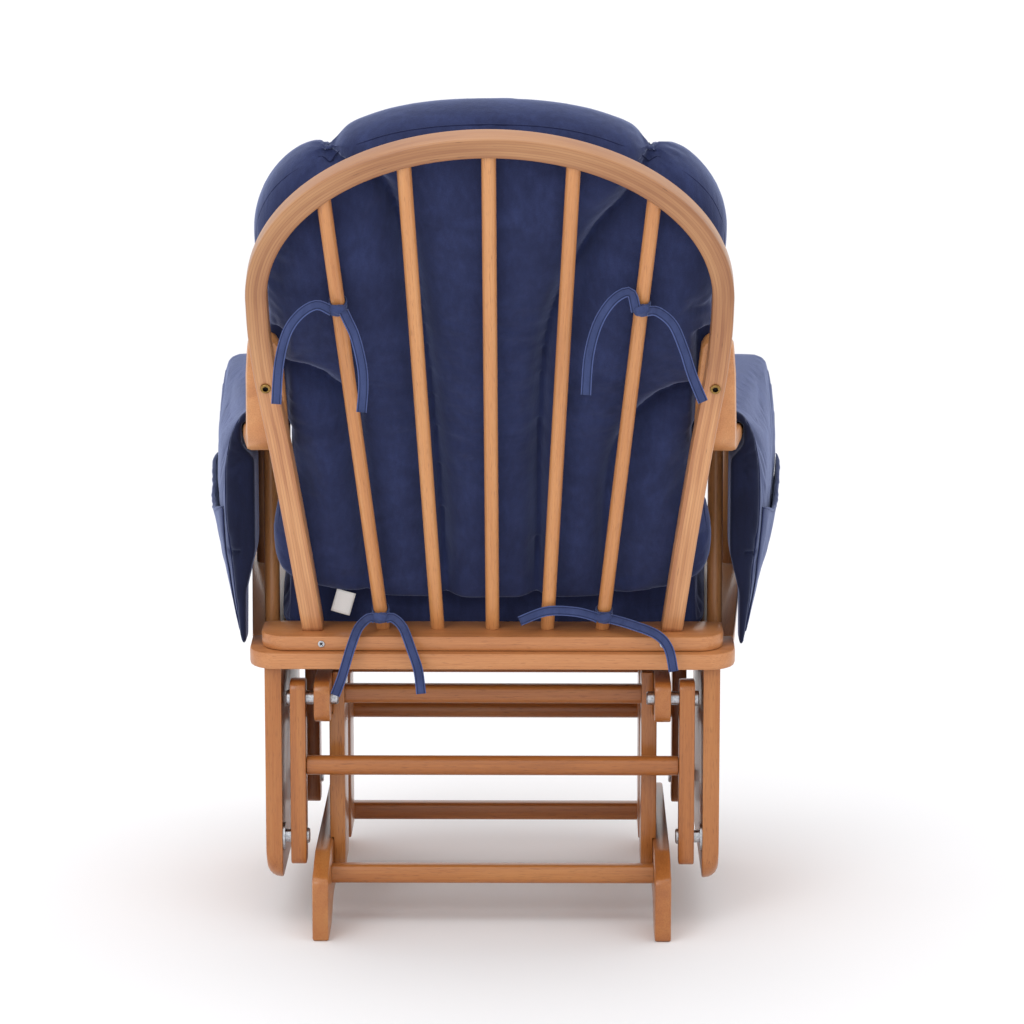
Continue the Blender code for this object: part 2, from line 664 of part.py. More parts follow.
def arm_stations():
    """Centre points, thickness directions and widths from the tongue end to the arm front."""
    corner = arm_corner()
    turn = (-BACK_UP).angle(ARM_FORWARD)
    reach = ARM_BEND_RADIUS * tan(turn / 2)
    stations = []
    top = back(0.0, ARM_TONGUE_TOP, HOOP_DEPTH + GAP + ARM_THICK / 2)
    for drop, width in ((0.0, 0.55), (0.003, 0.80), (0.009, 0.95), (0.018, 1.0), (0.045, 1.12)):
        stations.append((top - BACK_UP * drop, BACK_FRONT, ARM_TONGUE_WIDTH * width))
    start = corner + BACK_UP * reach
    centre = start + BACK_FRONT * ARM_BEND_RADIUS
    for k in range(9):
        angle = turn * k / 8
        inward = Matrix.Rotation(-angle, 3, "X") @ BACK_FRONT
        stations.append((centre - inward * ARM_BEND_RADIUS, inward, ARM_REAR_WIDTH * (0.93 + 0.07 * k / 8)))
    straight = corner + ARM_FORWARD * reach
    length = straight.y - ARM_FRONT_Y
    nose = ARM_FRONT_WIDTH / 2
    for share in (0.15, 0.3, 0.5, 0.7, 0.85):
        point = straight + ARM_FORWARD * ((length - nose) * share)
        stations.append((point, ARM_UP, arm_width(point.y)))
    for k in range(8):
        angle = radians(82.0) * k / 7
        point = straight + ARM_FORWARD * (length - nose + nose * sin(angle))
        stations.append((point, ARM_UP, ARM_FRONT_WIDTH * cos(angle)))
    return stations


def build_arm(label, side):
    section = box_section(1.0, 1.0, 0.25, 2)
    edge = 0.006
    rings = []
    for point, upward, width in arm_stations():
        x = arm_x(point.y)
        ring = []
        for u, v in section:
            across = min(max(u * 4, -1.0), 1.0) * (width / 2 - edge) + (u - min(max(u, -0.25), 0.25)) * 4 * edge
            high = min(max(v * 4, -1.0), 1.0) * (ARM_THICK / 2 - edge) + (v - min(max(v, -0.25), 0.25)) * 4 * edge
            ring.append(point + ACROSS * (side * (x + across)) + upward * high)
        rings.append(ring)
    finish("arm_" + label, skin(rings), HONEY, SEAT_AXIS)


def build_posts(label, side):
    arm_low = arm_corner() - ARM_UP * (ARM_THICK / 2 + GAP)
    low = plane_end(deck(0.0, 0.0, GAP), DECK_UP)
    high = plane_end(arm_low, ARM_UP)
    for end_label, place in (("rear", REAR_POST), ("front", FRONT_POST)):
        start = Vector((side * place[0], place[1], 0.32))
        bm = rod(start, start + UP, POST_RADIUS, low, high)
        finish(end_label + "_post_" + label, bm, HONEY, SEAT_AXIS)


# ---------------------------------------------------------------- cushions, pads, ties, label

def pillow(outline, centre, thick, place, crown=0.30, rows=4):
    """Soft block: rings of the outline shrink towards the centre while the faces swell."""
    edge = 0.5 - crown / 2
    rings = []
    levels = []
    for k in range(rows + 1):
        angle = pi / 2 * k / rows
        levels.append((1.0 - 0.16 * (1 - cos(angle)), edge * sin(angle)))
    for k in range(1, 4):
        levels.append((0.84 - 0.26 * k, edge + crown / 2 * sin(pi / 2 * k / 3)))
    for sign in (-1.0, 1.0):
        half = []
        for scale, lift in levels:
            z = thick * (0.5 + sign * lift)
            half.append([place(centre[0] + (p[0] - centre[0]) * scale,
                               centre[1] + (p[1] - centre[1]) * scale, z) for p in outline])
        rings = list(reversed(half)) + rings if sign < 0 else rings + half[1:]
    low_tip = place(centre[0], centre[1], 0.0)
    high_tip = place(centre[0], centre[1], thick)
    return skin(rings, low_tip, high_tip)


def build_seat_cushion():
    rear = SEAT_CUSHION_HALF_REAR
    front = SEAT_CUSHION_HALF_FRONT
    corners = ((-rear, SEAT_CUSHION_REAR), (rear, SEAT_CUSHION_REAR), (front, SEAT_CUSHION_FRONT),
               (-front, SEAT_CUSHION_FRONT))
    outline = subdivide(rounded(corners, (0.040, 0.040, 0.060, 0.060), 4), 0.08)
    middle = (SEAT_CUSHION_REAR + SEAT_CUSHION_FRONT) / 2
    thick = SEAT_CUSHION_HIGH
    bm = pillow(outline, (0.0, middle), thick, lambda x, y, z: deck(x, y, z + 0.0015))
    finish("seat_cushion", bm, NAVY, SEAT_AXIS, roughness=0.9)


def subdivide(outline, step):
    """Add points along long edges so that rings stay even."""
    out = []
    for i in range(len(outline)):
        a = Vector(outline[i])
        b = Vector(outline[(i + 1) % len(outline)])
        count = max(1, int((b - a).length / step))
        for k in range(count):
            out.append(tuple(a + (b - a) * (k / count)))
    return out


def build_back_cushion():
    right = smooth_path([(up, BASE_HALF_OUT + beyond) for up, beyond in BACK_CUSHION_EDGE], 2)
    crown = [(0.110, BACK_CUSHION_TOP - 0.004), (0.055, BACK_CUSHION_TOP)]
    outline = [(p.y, p.x) for p in right] + crown + [(0.0, BACK_CUSHION_TOP)]
    outline += [(-x, up) for x, up in reversed(outline[:-1])]
    outline = subdivide(outline, 0.08)
    start = HOOP_DEPTH + BACK_CUSHION_STANDOFF
    bm = pillow(outline, (0.0, 0.33), BACK_CUSHION_THICK, lambda x, y, z: back(x, y, start + z))
    finish("back_cushion", bm, NAVY, SEAT_AXIS, roughness=0.9)


def pad_section(y):
    """Slice of an arm pad: short inner lip, top, and a thick outer flap that tucks in under the arm."""
    x = arm_x(y)
    half = arm_width(y) / 2 + PAD_CLEAR
    corner = arm_corner()
    arm_mid = corner.z + (corner.y - y) * tan(radians(ARM_RISE))
    top = arm_mid + ARM_THICK / 2 + PAD_CLEAR
    arm_low = arm_mid - ARM_THICK / 2
    high = top + PAD_THICK
    t = PAD_THICK
    lip = top - PAD_LIP
    share = (PAD_REAR_Y - y) / (PAD_REAR_Y - PAD_FRONT_Y)
    outer = x + half + PAD_BULGE_REAR + (PAD_BULGE_FRONT - PAD_BULGE_REAR) * share
    slope = (FRONT_POST[0] - REAR_POST[0]) / (REAR_POST[1] - FRONT_POST[1])
    post_side = REAR_POST[0] + POST_RADIUS + PAD_POST_GAP + slope * max(REAR_POST[1] - y, 0.0)
    board_side = deck_half(DECK_REAR_Y - y) + PAD_POST_GAP / 2
    tuck = max(post_side, board_side)
    knee = PAD_FLAP_LOW + 0.46 * (arm_low - PAD_FLAP_LOW)
    points = ((x - half - t, lip), (x - half, lip), (x - half, top), (x + half, top),
              (x + half, arm_low - 0.004), (post_side, arm_low - 0.020), (post_side, knee),
              (tuck + 0.0005, PAD_FLAP_LOW + 0.062), (tuck + 0.001, PAD_FLAP_LOW), (tuck + 0.008, PAD_FLAP_LOW),
              (outer - 0.009, knee - 0.030), (outer, knee + 0.050), (outer, arm_low - 0.030),
              (outer - 0.007, arm_low + 0.014), (x + half - 0.002, high), (x - half - t, high))
    radii = (0.007, 0.007, 0.002, 0.002, 0.003, 0.004, 0.008, 0.004, 0.003, 0.004, 0.010, 0.010, 0.010, 0.010,
             0.010, 0.014)
    return rounded(points, radii, 2)


def build_arm_pad(label, side):
    rings = []
    for k in range(9):
        y = PAD_REAR_Y + (PAD_FRONT_Y - PAD_REAR_Y) * k / 8
        rings.append([Vector((side * u, y, v)) for u, v in pad_section(y)])
    finish("arm_pad_" + label, skin(rings), NAVY, SEAT_AXIS, bevel=0.003, roughness=0.9)


def ribbon(points, normals):
    """Flat strip swept through points; each normal faces away from the flat side."""
    rings = []
    count = len(points)
    for i in range(count):
        along = (points[min(i + 1, count - 1)] - points[max(i - 1, 0)]).normalized()
        across = along.cross(normals[i]).normalized()
        face = across.cross(along).normalized()
        w = across * (TIE_WIDTH / 2)
        t = face * (TIE_THICK / 2)
        rings.append([points[i] + w + t, points[i] - w + t, points[i] - w - t, points[i] + w - t])
    return skin(rings)


def build_tie(name, spindle, up, high_side_tail, low_side_tail):
    """Tie strip: passes round the front of a spindle and hangs behind it in two tails."""
    foot = SPINDLE_FEET[spindle - 1]
    axis_point = back(foot + foot * (SPINDLE_SPREAD - 1) * up / 0.60, up, HOOP_DEPTH / 2)
    radius = SPINDLE_RADIUS + 0.0022 + TIE_THICK / 2
    ends = []
    for tail, sign in ((high_side_tail, 1.0), (low_side_tail, -1.0)):
        leave = axis_point + ACROSS * (sign * (radius + 0.0010)) - BACK_FRONT * 0.012
        turn = leave + ACROSS * (sign * 0.006) - BACK_FRONT * 0.008
        points = [leave, turn] + [Vector(p) for p in tail]
        normals = [ACROSS * sign, (ACROSS * sign - BACK_FRONT).normalized()] + [REARWARD] * len(tail)
        ends.append((points, normals))
    wrap = []
    wrap_normals = []
    for k in range(9):
        angle = pi * k / 8
        outward = ACROSS * cos(angle) + BACK_FRONT * sin(angle)
        wrap.append(axis_point + outward * radius)
        wrap_normals.append(outward)
    points = list(reversed(ends[0][0])) + wrap + ends[1][0]
    normals = list(reversed(ends[0][1])) + wrap_normals + ends[1][1]
    finish(name, ribbon(points, normals), NAVY, SEAT_AXIS, roughness=0.9)


def build_ties():
    build_tie("tie_upper_left", 1, 0.444,
              ((0.208, 0.356, 0.7500), (0.2228, 0.358, 0.7300), (0.2319, 0.357, 0.6950), (0.2356, 0.355, 0.6510)),
              ((0.150, 0.356, 0.7280), (0.1413, 0.357, 0.6950), (0.1392, 0.356, 0.6710), (0.1416, 0.355, 0.6410)))
    build_tie("tie_upper_right", 5, 0.444,
              ((-0.1508, 0.356, 0.7750), (-0.1322, 0.359, 0.7630), (-0.118, 0.359, 0.7400),
               (-0.1093, 0.358, 0.7060), (-0.1062, 0.356, 0.6630)),
              ((-0.2017, 0.356, 0.7400), (-0.214, 0.358, 0.7120), (-0.2231, 0.357, 0.6840), (-0.2355, 0.355, 0.6540)))
    build_tie("tie_lower_left", 1, 0.022,
              ((0.1560, 0.183, 0.3620), (0.1640, 0.2035, 0.3400), (0.1728, 0.2060, 0.3080), (0.1810, 0.2060, 0.2880)),
              ((0.1010, 0.183, 0.3620), (0.0920, 0.2035, 0.3400), (0.0850, 0.2060, 0.3180), (0.0816, 0.2060, 0.2900)))
    build_tie("tie_lower_right", 5, 0.022,
              ((-0.0944, 0.1720, 0.3780), (-0.0626, 0.1760, 0.3790), (-0.0319, 0.1740, 0.3670)),
              ((-0.1620, 0.1830, 0.3640), (-0.1896, 0.1990, 0.3560), (-0.2036, 0.2050, 0.3420),
               (-0.2096, 0.2060, 0.3170)))


def build_label():
    lean = Matrix.Rotation(radians(-16.0), 3, "Y")
    centre = Vector((0.174, 0.1365, 0.3825))
    first = lean @ ACROSS
    second = lean @ UP
    corner = centre - first * (LABEL_WIDTH / 2) - second * (LABEL_HIGH / 2)
    outline = ((0.0, 0.0), (LABEL_WIDTH, 0.0), (LABEL_WIDTH, LABEL_HIGH), (0.0, LABEL_HIGH))
    finish("care_label", slab(outline, LABEL_THICK, frame(corner, first, second, REARWARD)), WHITE, SEAT_AXIS,
           roughness=0.8)


# ---------------------------------------------------------------- assembly

def centre_on_origin():
    """Slide the whole chair so that the middle of its footprint box is the origin."""
    graph = bpy.context.evaluated_depsgraph_get()
    low = 1.0
    high = -1.0
    for obj in bpy.context.scene.objects:
        mesh = obj.evaluated_get(graph).data
        for vert in mesh.vertices:
            y = obj.location.y + vert.co.y
            low = min(low, y)
            high = max(high, y)
    shift = -(low + high) / 2
    for obj in bpy.context.scene.objects:
        obj.location.y += shift
    print("front to rear shift", round(shift, 6))


clear_scene()
build_base()
build_swings()
build_deck()
build_back()
for side_label, side_sign in SIDES:
    build_panel(side_label, side_sign)
    build_arm(side_label, side_sign)
    build_posts(side_label, side_sign)
    build_arm_pad(side_label, side_sign)
build_seat_cushion()
build_back_cushion()
build_ties()
build_label()
bpy.context.view_layer.update()
centre_on_origin()
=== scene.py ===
# %% [markdown]
# # A glider nursery chair
# The imported CAD model is the fixed frame: it gives every size, every joint and the place of every
# part. This script adds the looks: stained wood, brushed cloth, stuffed cushions and small metal
# fittings. First the frame is loaded.

# %% Load the imported chair
import json
from math import cos, pi, radians, sin, sqrt
from random import Random

import bpy
import numpy as np
from mathutils import Matrix, Vector
from mathutils.bvhtree import BVHTree


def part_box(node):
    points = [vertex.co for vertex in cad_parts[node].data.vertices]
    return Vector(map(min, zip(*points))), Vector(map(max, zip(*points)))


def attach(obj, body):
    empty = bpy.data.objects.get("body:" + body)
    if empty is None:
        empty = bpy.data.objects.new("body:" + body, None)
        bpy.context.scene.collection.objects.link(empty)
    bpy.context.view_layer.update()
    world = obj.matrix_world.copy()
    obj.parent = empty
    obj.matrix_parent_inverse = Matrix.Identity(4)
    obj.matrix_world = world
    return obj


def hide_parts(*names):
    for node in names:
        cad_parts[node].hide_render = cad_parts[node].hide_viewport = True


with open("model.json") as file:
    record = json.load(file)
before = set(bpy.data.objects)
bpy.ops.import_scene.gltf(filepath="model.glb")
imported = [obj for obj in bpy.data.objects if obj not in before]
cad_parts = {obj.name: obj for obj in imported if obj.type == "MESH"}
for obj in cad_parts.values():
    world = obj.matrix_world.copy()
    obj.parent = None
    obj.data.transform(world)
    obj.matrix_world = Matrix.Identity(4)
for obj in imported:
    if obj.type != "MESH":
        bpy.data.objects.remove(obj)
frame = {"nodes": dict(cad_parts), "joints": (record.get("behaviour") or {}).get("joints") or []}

scene = bpy.context.scene
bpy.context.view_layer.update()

# %% [markdown]
# Three directions make every later number readable. The chair's back leans 25 degrees, so points on
# it are given as across, up the back and out of the back towards the sitter. The deck under the seat
# slopes 5 degrees, so points there are given as across, forward and high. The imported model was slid
# a little to stand over the origin, and the hinge says by how much.

# %% Directions of the back and the deck
hinges = {joint["name"]: Vector(joint["pos_m"]) for joint in frame["joints"]}
SLIDE = hinges["rear_swing_hinge"].y - 0.150
BACK_LEAN, DECK_SLOPE = radians(25), radians(5)
ACROSS = Vector((1, 0, 0))
BACK_UP = Vector((0, sin(BACK_LEAN), cos(BACK_LEAN)))
BACK_OUT = Vector((0, -cos(BACK_LEAN), sin(BACK_LEAN)))
BACK_FOOT = Vector((0, 0.1564 + SLIDE, 0.3495))
DECK_FORWARD = Vector((0, -cos(DECK_SLOPE), sin(DECK_SLOPE)))
DECK_UP = Vector((0, sin(DECK_SLOPE), cos(DECK_SLOPE)))
DECK_REAR = Vector((0, 0.185 + SLIDE, 0.331))


def on_back(across, up, out):
    return BACK_FOOT + ACROSS * across + BACK_UP * up + BACK_OUT * out


def on_deck(across, forward, high):
    return DECK_REAR + ACROSS * across + DECK_FORWARD * forward + DECK_UP * high


print("slide", round(SLIDE, 4), "top of the back at", on_back(0, 0.66, 0)[:])

# %% [markdown]
# The camera stands behind the chair, a little above it and far away, with a long lens, so that
# parallel rails stay nearly parallel. Depth of field stays off.

# %% Camera
camera_data = bpy.data.cameras.new("camera")
camera_data.sensor_width = 36.0
camera_data.lens = 146.2
camera = bpy.data.objects.new("camera", camera_data)
camera.location = (-0.067377, 4.835604, 1.343161)
look = Vector((0.00925148, -0.98421538, -0.17673283))
camera.rotation_mode = "QUATERNION"
camera.rotation_quaternion = look.to_track_quat("-Z", "Y")
scene.collection.objects.link(camera)
scene.camera = camera
print("camera stands", round(camera.location.length, 2), "m from the middle of the floor")

# %% [markdown]
# Two helpers serve every material. One turns an sRGB hex colour into the linear numbers that shaders
# use. The other adds a node, sets its sockets and links it in one line, so a material reads as a list
# of what feeds what.

# %% Material helpers
def linear(hex_colour):
    channels = [int(hex_colour[k:k + 2], 16) / 255 for k in (1, 3, 5)]
    return tuple(c / 12.92 if c <= 0.04045 else ((c + 0.055) / 1.055) ** 2.4 for c in channels) + (1.0,)


def add_node(tree, kind, settings=(), links=()):
    """A new node; settings are properties or socket values, links are sockets and what feeds them."""
    node = tree.nodes.new(kind)
    for key, value in dict(settings).items():
        if isinstance(key, str) and key not in node.inputs:
            setattr(node, key, value)
        else:
            node.inputs[key].default_value = value
    for key, source in dict(links).items():
        tree.links.new(source, node.inputs[key])
    return node


def new_material(name):
    material = bpy.data.materials.new(name)
    material.use_nodes = True
    tree = material.node_tree
    shader = tree.nodes["Principled BSDF"]
    return material, tree, shader


def blend_ramp(tree, source, stops):
    """Colours laid along a 0 to 1 value."""
    ramp = add_node(tree, "ShaderNodeValToRGB", links={0: source})
    elements = ramp.color_ramp.elements
    while len(elements) < len(stops):
        elements.new(0.5)
    for element, (place, hex_colour) in zip(elements, stops):
        element.position = place
        element.color = linear(hex_colour)
    return ramp.outputs[0]


print("white is", linear("#ffffff"))

# %% [markdown]
# **Honey-stained rubberwood, sanded and sprayed with satin lacquer.** Each piece is sawn along its
# length, so the grain has to run along it too. Every wooden mesh carries an attribute named "grain":
# metres along the piece, then across it twice, moved by a different amount on each piece so that no
# two boards match. The eye gets three sizes of pattern from it: slow bands of lighter and darker
# growth 15 to 30 mm wide, fibres about 1.5 mm wide and long, and short dark pores. Real pores are
# 0.2 mm wide; they are drawn 0.7 mm wide here so that they show. The base, the swings and the side panels,
# low down and under the seat, get a darker copy as painted shade; the deck boards a half-shaded copy between the two.

# %% Wood material
def wood_material(name, pale, middle, deep, pore, bands=1.0, gloss=0.36, tone=0.16):
    material, tree, shader = new_material(name)
    place = add_node(tree, "ShaderNodeAttribute", {"attribute_name": "grain"}).outputs["Vector"]
    stretched = add_node(tree, "ShaderNodeMapping", {"Scale": (2.2, 42, 42)}, {"Vector": place})
    growth = add_node(tree, "ShaderNodeTexNoise", {"Scale": 1.0, "Detail": 3.0, "Roughness": 0.5,
                      "Distortion": 0.7}, {"Vector": stretched.outputs[0]})
    thin = add_node(tree, "ShaderNodeMapping", {"Scale": (14, 640, 640)}, {"Vector": place})
    fibres = add_node(tree, "ShaderNodeTexNoise", {"Scale": 1.0, "Detail": 4.0, "Roughness": 0.6},
                      {"Vector": thin.outputs[0]})
    short = add_node(tree, "ShaderNodeMapping", {"Scale": (75, 1400, 1400)}, {"Vector": place})
    pores = add_node(tree, "ShaderNodeTexNoise", {"Scale": 1.0, "Detail": 1.0}, {"Vector": short.outputs[0]})
    piece_tone = add_node(tree, "ShaderNodeAttribute", {"attribute_name": "tone"}).outputs["Fac"]
    # Bands carry most of the tone, fibres a third as much, and the piece's own tone shifts both.
    banding = add_node(tree, "ShaderNodeMath", {"operation": "MULTIPLY_ADD", 1: 0.62 * bands, 2: 0.19},
                       {0: growth.outputs["Fac"]})
    streaks = add_node(tree, "ShaderNodeMath", {"operation": "MULTIPLY_ADD", 1: 0.55, 2: -0.275},
                       {0: fibres.outputs["Fac"]})
    level = add_node(tree, "ShaderNodeMath", {"operation": "ADD"}, {0: banding.outputs[0], 1: streaks.outputs[0]})
    shift = add_node(tree, "ShaderNodeMath", {"operation": "MULTIPLY_ADD", 1: tone}, {0: piece_tone,
                     2: level.outputs[0]})
    colour = blend_ramp(tree, shift.outputs[0], ((0.22, deep), (0.50, middle), (0.78, pale)))
    pore_share = add_node(tree, "ShaderNodeMapRange", {"From Min": 0.60, "From Max": 0.74, "To Max": 0.5},
                          {"Value": pores.outputs["Fac"]})
    inked = add_node(tree, "ShaderNodeMix", {"data_type": "RGBA", 7: linear(pore)},
                     {0: pore_share.outputs[0], 6: colour})
    tree.links.new(inked.outputs[2], shader.inputs["Base Color"])
    worn = add_node(tree, "ShaderNodeMapRange", {"To Min": gloss - 0.06, "To Max": gloss + 0.10},
                    {"Value": fibres.outputs["Fac"]})
    tree.links.new(worn.outputs[0], shader.inputs["Roughness"])
    bump = add_node(tree, "ShaderNodeBump", {"Strength": 0.22, "Distance": 0.0004},
                    {"Height": fibres.outputs["Fac"]})
    tree.links.new(bump.outputs[0], shader.inputs["Normal"])
    shader.inputs["IOR"].default_value = 1.50
    shader.inputs["Coat Weight"].default_value = 0.22
    shader.inputs["Coat Roughness"].default_value = 0.16
    return material


honey_wood = wood_material("honey_stained_rubberwood", "#d79c65", "#c98a54", "#b37443", "#8a5430")
# The two copies below are painted shade: a half-shaded one for the deck boards and a darker one for the parts low
# down and under the seat.
half_shade_board_wood = wood_material("honey_stained_rubberwood_half_painted_shade", "#cb8f5c", "#bd7e4c", "#a6673a", "#7c4826")
painted_shade_wood = wood_material("honey_stained_rubberwood_painted_shade", "#b3763f", "#a56430", "#8c5024", "#5c2d10",
                          bands=1.15, gloss=0.30)
print("wood materials made")

# %% [markdown]
# **Bent-laminated hoop.** The hoop is not one stick: eight veneers of 3 mm are glued in a curved
# press, then the faces are sanded. On the outer face one veneer shows, but on the rear and front
# faces all eight show as lines that follow the curve, each with its own tone, and with thin brown
# glue lines and a few short dark tears between them. The attribute "ply" counts the veneers.

# %% Laminated wood material
def laminated_material():
    material, tree, shader = new_material("bent_laminated_rubberwood")
    place = add_node(tree, "ShaderNodeAttribute", {"attribute_name": "grain"}).outputs["Vector"]
    ply = add_node(tree, "ShaderNodeAttribute", {"attribute_name": "ply"}).outputs["Fac"]
    waver = add_node(tree, "ShaderNodeMapping", {"Scale": (9, 0, 0)}, {"Vector": place})
    wander = add_node(tree, "ShaderNodeTexNoise", {"Scale": 1.0, "Detail": 2.0}, {"Vector": waver.outputs[0]})
    moved = add_node(tree, "ShaderNodeMath", {"operation": "MULTIPLY_ADD", 1: 0.5}, {0: wander.outputs["Fac"],
                     2: ply})
    which = add_node(tree, "ShaderNodeMath", {"operation": "FLOOR"}, {0: moved.outputs[0]})
    veneer = add_node(tree, "ShaderNodeTexWhiteNoise", {"noise_dimensions": "1D"}, {"W": which.outputs[0]})
    across = add_node(tree, "ShaderNodeMath", {"operation": "FRACT"}, {0: moved.outputs[0]})
    middle = add_node(tree, "ShaderNodeMath", {"operation": "PINGPONG", 1: 0.5}, {0: across.outputs[0]})
    glue = add_node(tree, "ShaderNodeMapRange", {"From Min": 0.0, "From Max": 0.13, "To Min": 1.0, "To Max": 0.0},
                    {"Value": middle.outputs[0]})
    thin = add_node(tree, "ShaderNodeMapping", {"Scale": (22, 900, 900)}, {"Vector": place})
    fibres = add_node(tree, "ShaderNodeTexNoise", {"Scale": 1.0, "Detail": 4.0, "Roughness": 0.62},
                      {"Vector": thin.outputs[0]})
    slow = add_node(tree, "ShaderNodeMapping", {"Scale": (5, 60, 60)}, {"Vector": place})
    cloud = add_node(tree, "ShaderNodeTexNoise", {"Scale": 1.0, "Detail": 2.0}, {"Vector": slow.outputs[0]})
    body = add_node(tree, "ShaderNodeMath", {"operation": "MULTIPLY_ADD", 1: 0.20}, {0: veneer.outputs["Value"],
                    2: cloud.outputs["Fac"]})
    streaks = add_node(tree, "ShaderNodeMath", {"operation": "MULTIPLY_ADD", 1: 0.60, 2: -0.38},
                       {0: fibres.outputs["Fac"]})
    level = add_node(tree, "ShaderNodeMath", {"operation": "ADD"}, {0: body.outputs[0], 1: streaks.outputs[0]})
    colour = blend_ramp(tree, level.outputs[0], ((0.22, "#a66d47"), (0.48, "#c0875a"), (0.78, "#d6a06f")))
    line_share = add_node(tree, "ShaderNodeMath", {"operation": "MULTIPLY", 1: 0.42}, {0: glue.outputs[0]})
    glued = add_node(tree, "ShaderNodeMix", {"data_type": "RGBA", 7: linear("#8a5440")},
                     {0: line_share.outputs[0], 6: colour})
    # Tears: short dark slits that sit on glue lines only, about 12 mm long.
    slit_place = add_node(tree, "ShaderNodeMapping", {"Scale": (38, 330, 330)}, {"Vector": place})
    slits = add_node(tree, "ShaderNodeTexNoise", {"Scale": 1.0, "Detail": 1.0}, {"Vector": slit_place.outputs[0]})
    torn = add_node(tree, "ShaderNodeMapRange", {"From Min": 0.70, "From Max": 0.76}, {"Value": slits.outputs["Fac"]})
    slit_share = add_node(tree, "ShaderNodeMath", {"operation": "MULTIPLY"}, {0: torn.outputs[0],
                          1: glue.outputs[0]})
    marked = add_node(tree, "ShaderNodeMix", {"data_type": "RGBA", 7: linear("#3c2218")},
                      {0: slit_share.outputs[0], 6: glued.outputs[2]})
    # The bow is painted a little darker toward its crown.
    crown = add_node(tree, "ShaderNodeAttribute", {"attribute_name": "crown"}).outputs["Fac"]
    crown_darkening = add_node(tree, "ShaderNodeMix", {"data_type": "RGBA", "blend_type": "MULTIPLY", 7: linear("#d6d1cb")},
                       {0: crown, 6: marked.outputs[2]})
    tree.links.new(crown_darkening.outputs[2], shader.inputs["Base Color"])
    worn = add_node(tree, "ShaderNodeMapRange", {"To Min": 0.34, "To Max": 0.50}, {"Value": fibres.outputs["Fac"]})
    tree.links.new(worn.outputs[0], shader.inputs["Roughness"])
    bump = add_node(tree, "ShaderNodeBump", {"Strength": 0.20, "Distance": 0.0004}, {"Height": fibres.outputs["Fac"]})
    tree.links.new(bump.outputs[0], shader.inputs["Normal"])
    shader.inputs["IOR"].default_value = 1.50
    shader.inputs["Coat Weight"].default_value = 0.22
    shader.inputs["Coat Roughness"].default_value = 0.18
    return material


laminated_wood = laminated_material()
print("laminated wood made")

# %% [markdown]
# **Brushed microfibre (a polyester velour).** The cloth has a very short nap that lies one way where
# a hand or a fold has pressed it, so it looks patchy: strokes 30 to 80 mm wide that are a little
# lighter or darker. Seen at a grazing angle the nap lights up pale blue, which the sheen gives. The
# threads are 0.3 mm apart, too fine to show, so the pile is drawn as 1.2 mm grain in the bump.

# %% Cloth material
def brushed_cloth(name, pale, middle, deep, sheen=0.45, pile=850.0):
    material, tree, shader = new_material(name)
    place = add_node(tree, "ShaderNodeTexCoord").outputs["Object"]
    patches = add_node(tree, "ShaderNodeTexNoise", {"Scale": 17.0, "Detail": 3.0, "Roughness": 0.55,
                       "Distortion": 0.9}, {"Vector": place})
    strokes_place = add_node(tree, "ShaderNodeMapping", {"Scale": (160, 160, 34), "Rotation": (0.4, 0.2, 0)},
                             {"Vector": place})
    strokes = add_node(tree, "ShaderNodeTexNoise", {"Scale": 1.0, "Detail": 3.0}, {"Vector":
                       strokes_place.outputs[0]})
    grain = add_node(tree, "ShaderNodeTexNoise", {"Scale": pile, "Detail": 2.0}, {"Vector": place})
    calm = add_node(tree, "ShaderNodeMath", {"operation": "MULTIPLY_ADD", 1: 0.55, 2: 0.225},
                    {0: patches.outputs["Fac"]})
    part = add_node(tree, "ShaderNodeMath", {"operation": "MULTIPLY_ADD", 1: 0.34}, {0: strokes.outputs["Fac"],
                    2: calm.outputs[0]})
    level = add_node(tree, "ShaderNodeMath", {"operation": "MULTIPLY_ADD", 1: 0.34, 2: -0.34},
                     {0: grain.outputs["Fac"]})
    total = add_node(tree, "ShaderNodeMath", {"operation": "ADD"}, {0: part.outputs[0], 1: level.outputs[0]})
    colour = blend_ramp(tree, total.outputs[0], ((0.25, deep), (0.50, middle), (0.78, pale)))
    # Painted shade: a point attribute says how much darker the cloth is painted; the arm pads' rear ends carry it.
    painted_rear_shade = add_node(tree, "ShaderNodeAttribute", {"attribute_name": "painted_rear_shade"}).outputs["Fac"]
    rear_shaded_colour = add_node(tree, "ShaderNodeMix", {"data_type": "RGBA", "blend_type": "MULTIPLY", 7: linear("#9295a2")},
                    {0: painted_rear_shade, 6: colour})
    tree.links.new(rear_shaded_colour.outputs[2], shader.inputs["Base Color"])
    shader.inputs["Roughness"].default_value = 0.88
    shader.inputs["Specular IOR Level"].default_value = 0.22
    shader.inputs["Sheen Weight"].default_value = sheen
    shader.inputs["Sheen Roughness"].default_value = 0.42
    shader.inputs["Sheen Tint"].default_value = linear("#b3c0ea")
    height = add_node(tree, "ShaderNodeMath", {"operation": "MULTIPLY_ADD", 1: 1.6}, {0: strokes.outputs["Fac"],
                      2: grain.outputs["Fac"]})
    bump = add_node(tree, "ShaderNodeBump", {"Strength": 0.35, "Distance": 0.0006}, {"Height": height.outputs[0]})
    tree.links.new(bump.outputs[0], shader.inputs["Normal"])
    return material


navy_cloth = brushed_cloth("navy_brushed_microfibre", "#2f3963", "#242c50", "#1a2040", sheen=0.62)
tie_cloth = brushed_cloth("navy_microfibre_tape", "#46527e", "#38436b", "#2a3355", sheen=0.5, pile=1400.0)


